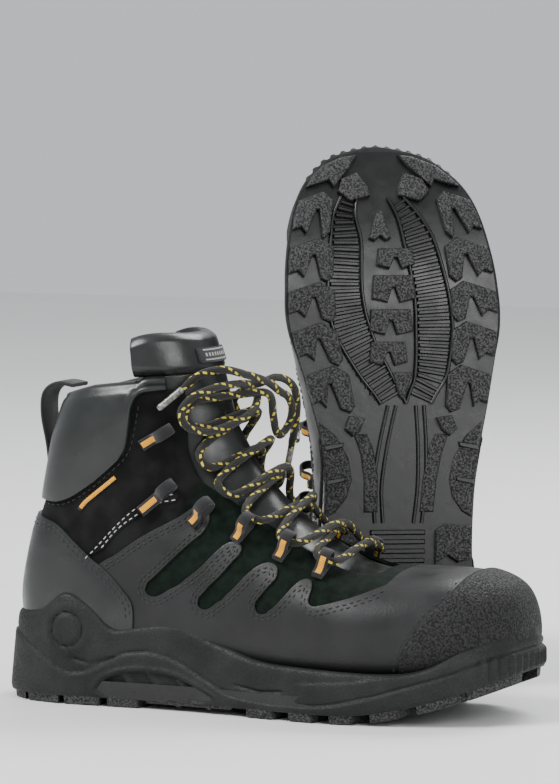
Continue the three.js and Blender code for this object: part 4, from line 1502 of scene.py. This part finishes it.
LOOPS = [(7.7, 11), (8.7, 11), (9.75, 11), (10.95, 12), (12.5, 20), (14.4, 15)]
EYE_ACROSS = THROAT_HALF + 5
EYE_RADIUS = LACE / 2 + 2.1
LOOP_THICK = 1.4
EYE_HEIGHT = 0.3 + LOOP_THICK + EYE_RADIUS
PULL_PATH = [[-10.5, -47], [-12.5, -30], [-15.5, -14], [-14.5, -2], [-7, 3.5], [3, 2.5]]


def ribbon(name, line, width_way, width, thick):
    """Webbing along a line: a flat rounded strip, width_way being the direction across it."""
    tangent = np.gradient(line, axis=0)
    tangent /= np.linalg.norm(tangent, axis=1, keepdims=True)
    across = np.broadcast_to(width_way, line.shape)
    across = across - tangent * np.sum(across * tangent, axis=1, keepdims=True)
    across = across / np.linalg.norm(across, axis=1, keepdims=True)
    up = np.cross(tangent, across)
    half, lift, soft = width / 2, thick / 2, thick * 0.3
    section = [(-half, -lift + soft), (-half + soft, -lift), (0, -lift * 1.06)]
    section += [(half - soft, -lift), (half, -lift + soft)]
    section += [(-a, -b) for a, b in section]
    rings = [line + across * a + up * b for a, b in section]
    points = np.stack(rings, axis=1).reshape(-1, 3)
    count = len(section)
    lengths = lengths_along(line)
    uvs = np.stack([np.repeat(lengths, count), np.tile([a for a, b in section], len(line))], axis=1)
    faces = grid_faces(len(line), count, close_columns=True)
    faces += [tuple(range(count))[::-1], tuple((len(line) - 1) * count + i for i in range(count))]
    obj = mesh_object(name, points, faces, uvs)
    face_outward(obj)
    shade(obj, 50)
    return obj


def on_skin(station, aside, height):
    """The point above the last at a station, aside millimetres from the middle, on the front half."""
    angle = np.linspace(0, np.pi / 2, 400) * np.sign(aside)
    points = skin(np.full(400, float(station)), angle)
    best = int(np.argmin(np.abs(points[:, 1] - aside)))
    normal = skin_normal(np.array([float(station)]), angle[best : best + 1])[0]
    return points[best] + normal * height


def make_loops():
    for side_name, side in (("outer", -1), ("inner", 1)):
        for number, (station, strap_length) in enumerate(LOOPS):
            centre = on_skin(station, side * EYE_ACROSS, EYE_HEIGHT)
            seat = on_skin(station, side * EYE_ACROSS, 0)
            foot = on_skin(station, side * (EYE_ACROSS + 6), 0)
            lift = (centre - seat) / np.linalg.norm(centre - seat)
            strap = (seat - foot) / np.linalg.norm(seat - foot)
            strap -= lift * (strap @ lift)
            strap /= np.linalg.norm(strap)
            radius = EYE_RADIUS + LOOP_THICK / 2
            flat = [(-strap_length, -radius + 0.2), (-strap_length * 0.6, -radius + 0.1), (-2.5, -radius)]
            flat += [(radius * np.cos(t), radius * np.sin(t)) for t in np.linspace(-1.45, 2.75, 16)]
            flat += [(-radius * 1.12, -radius * 0.25), (-radius * 1.45, -radius + 2.1)]
            flat += [(-radius * 1.9, -radius + 1.6), (-strap_length * 0.98, -radius + 1.6)]
            line = np.array([centre + strap * a + lift * b for a, b in flat])
            line = smooth_line(line, 0.9)[::-1]
            name = f"webbing_loop_{side_name}_{number + 1}"
            piece = ribbon(name, line, np.cross(strap, lift), LOOP_WIDTH, LOOP_THICK)
            place(piece, "loop_webbing", LOOP_TAPE, [f"lace_loop_{side_name}_{number + 1}"])


def make_pull_loop():
    start = np.array([34 * KX, 168])
    line = smooth_line(start + np.array(PULL_PATH), 1.2)
    line = np.column_stack([line[:, 0], np.zeros(len(line)), line[:, 1]])
    place(ribbon("pull_tab", line, np.array([0.0, 1.0, 0.0]), 20, 2.0), "webbing", WEBBING, ["pull_loop"])


def surface_point(x, z, side):
    """The outermost sewn surface at a side-view point, and the way it faces."""
    best = None
    for tree in targets:
        hit, normal, _, _ = tree.ray_cast(Vector((x, side * 150, z)), Vector((0, -side, 0)))
        if hit is not None and (best is None or side * hit.y > side * best[0].y):
            best = (hit, normal)
    return best


def stitch_row(line, side, length=2.3, gap=1.5, radius=0.34):
    """Short threads along a side-view line, on the surface under them."""
    steps = even_steps(line, (length + gap) / 2)
    points, faces = [], []
    for i in range(0, len(steps) - 1, 2):
        ends = [surface_point(x, z, side) for x, z in (steps[i], steps[i + 1])]
        if None in ends or (ends[0][0] - ends[1][0]).length > 3 * length:
            continue
        normal = np.array((ends[0][1] + ends[1][1]).normalized())
        a, b = (np.array(end[0]) for end in ends)
        way = (b - a) / max(np.linalg.norm(b - a), 1e-6)
        aside = np.cross(way, normal)
        middle = (a + b) / 2 + normal * 0.1
        reach = length / 2
        start = len(points)
        for share, size in ((-1, 0.45), (-0.6, 1), (0.6, 1), (1, 0.45)):
            centre = middle + way * reach * share + normal * (0.12 if size == 1 else -0.15)
            for turn in np.arange(6) * np.pi / 3:
                points.append(centre + radius * size * (aside * np.cos(turn) + normal * np.sin(turn)))
        faces += grid_faces(4, 6, close_columns=True, start=start)
        faces.append(tuple(start + k for k in range(6))[::-1])
        faces.append(tuple(start + 18 + k for k in range(6)))
    return points, faces


def inset_line(edge, distance, spacing=1.2):
    """A side-view line moved to its right-hand side."""
    line = scaled_line(edge, spacing)
    tangent = np.gradient(line, axis=0)
    tangent /= np.linalg.norm(tangent, axis=1, keepdims=True)
    return line + np.stack([tangent[:, 1], -tangent[:, 0]], axis=1) * distance


def make_stitches():
    black = [(OVERLAY_EDGE[1:], 2), (OVERLAY_EDGE[1:], 4), (HEEL_EDGE[1:-1], 2.2), (HEEL_EDGE[1:-1], 4.6)]
    black += [(COLLAR_SEAM[1:-2], 1.8), (BUMPER_EDGE, -1.8)]
    grey = [(STRIP_UPPER, 0.9), (STRIP_LOWER, 0.9)]
    threads = [("black_stitches", black, BLACK_THREAD), ("grey_stitches", grey, GREY_THREAD)]
    for name, rows, material in threads:
        points, faces = [], []
        for edge, distance in rows:
            for side in (-1, 1):
                more_points, more_faces = stitch_row(inset_line(edge, distance), side)
                faces += [tuple(i + len(points) for i in face) for face in more_faces]
                points += more_points
        obj = mesh_object(name, points, faces)
        face_outward(obj)
        shade(obj, 60)
        place(obj, "webbing", material)


def make_accent():
    """The orange bar under the collar's seam, on both sides."""
    tubes = []
    for side in (-1, 1):
        line = []
        for x, z in scaled_line(ORANGE_BAR, 1.5):
            found = surface_point(x, z, side)
            if found is not None:
                line.append(np.array(found[0]) + np.array(found[1]) * 0.4)
        line = smooth_line(np.array(line), 1.5)
        tubes.append(ribbon(f"accent_{side}", line, np.array([-0.6, 0.0, 0.8]), 2.2, 1.2))
    place(join("accent_bars", tubes), "loop_webbing", ACCENT_TAPE)


make_loops()
make_pull_loop()
make_stitches()
make_accent()

# --- pieces that stay as they are, floor and light ------------------------------------------------

for side in SIDES:
    for node, material in (("shank", STEEL), ("toe_cap", STIFFENER), ("heel_counter", STIFFENER)):
        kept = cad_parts[f"{side}_{node}"]
        kept.data.materials.clear()
        kept.data.materials.append(material)


def add_floor():
    finish = Finish("pale_floor", 0.55)
    finish.colour(finish.mix(finish.noise(60), (0.78, 0.78, 0.77), (0.82, 0.82, 0.81)))
    bpy.ops.mesh.primitive_plane_add(size=6, location=(0, 0, 0))
    floor = bpy.context.object
    floor.name = "floor"
    floor.data.materials.append(finish.material)


def add_light(name, location, size, power, target=(0, 0, 0.12)):
    data = bpy.data.lights.new(name, "AREA")
    data.size = size
    data.energy = power
    light = bpy.data.objects.new(name, data)
    light.location = location
    direction = Vector(target) - Vector(location)
    light.rotation_euler = direction.to_track_quat("-Z", "Y").to_euler()
    bpy.context.scene.collection.objects.link(light)


def add_world():
    world = bpy.data.worlds.new("pale_room")
    world.use_nodes = True
    background = world.node_tree.nodes["Background"]
    background.inputs["Color"].default_value = (0.95, 0.97, 1, 1)
    background.inputs["Strength"].default_value = 0.7
    bpy.context.scene.world = world


add_floor()
add_light("key", (-1.0, -1.1, 1.7), 0.8, 52)
add_light("fill", (1.4, -1.3, 0.9), 1.0, 20)
add_light("back", (0.3, 1.1, 1.5), 1.0, 34)
add_world()
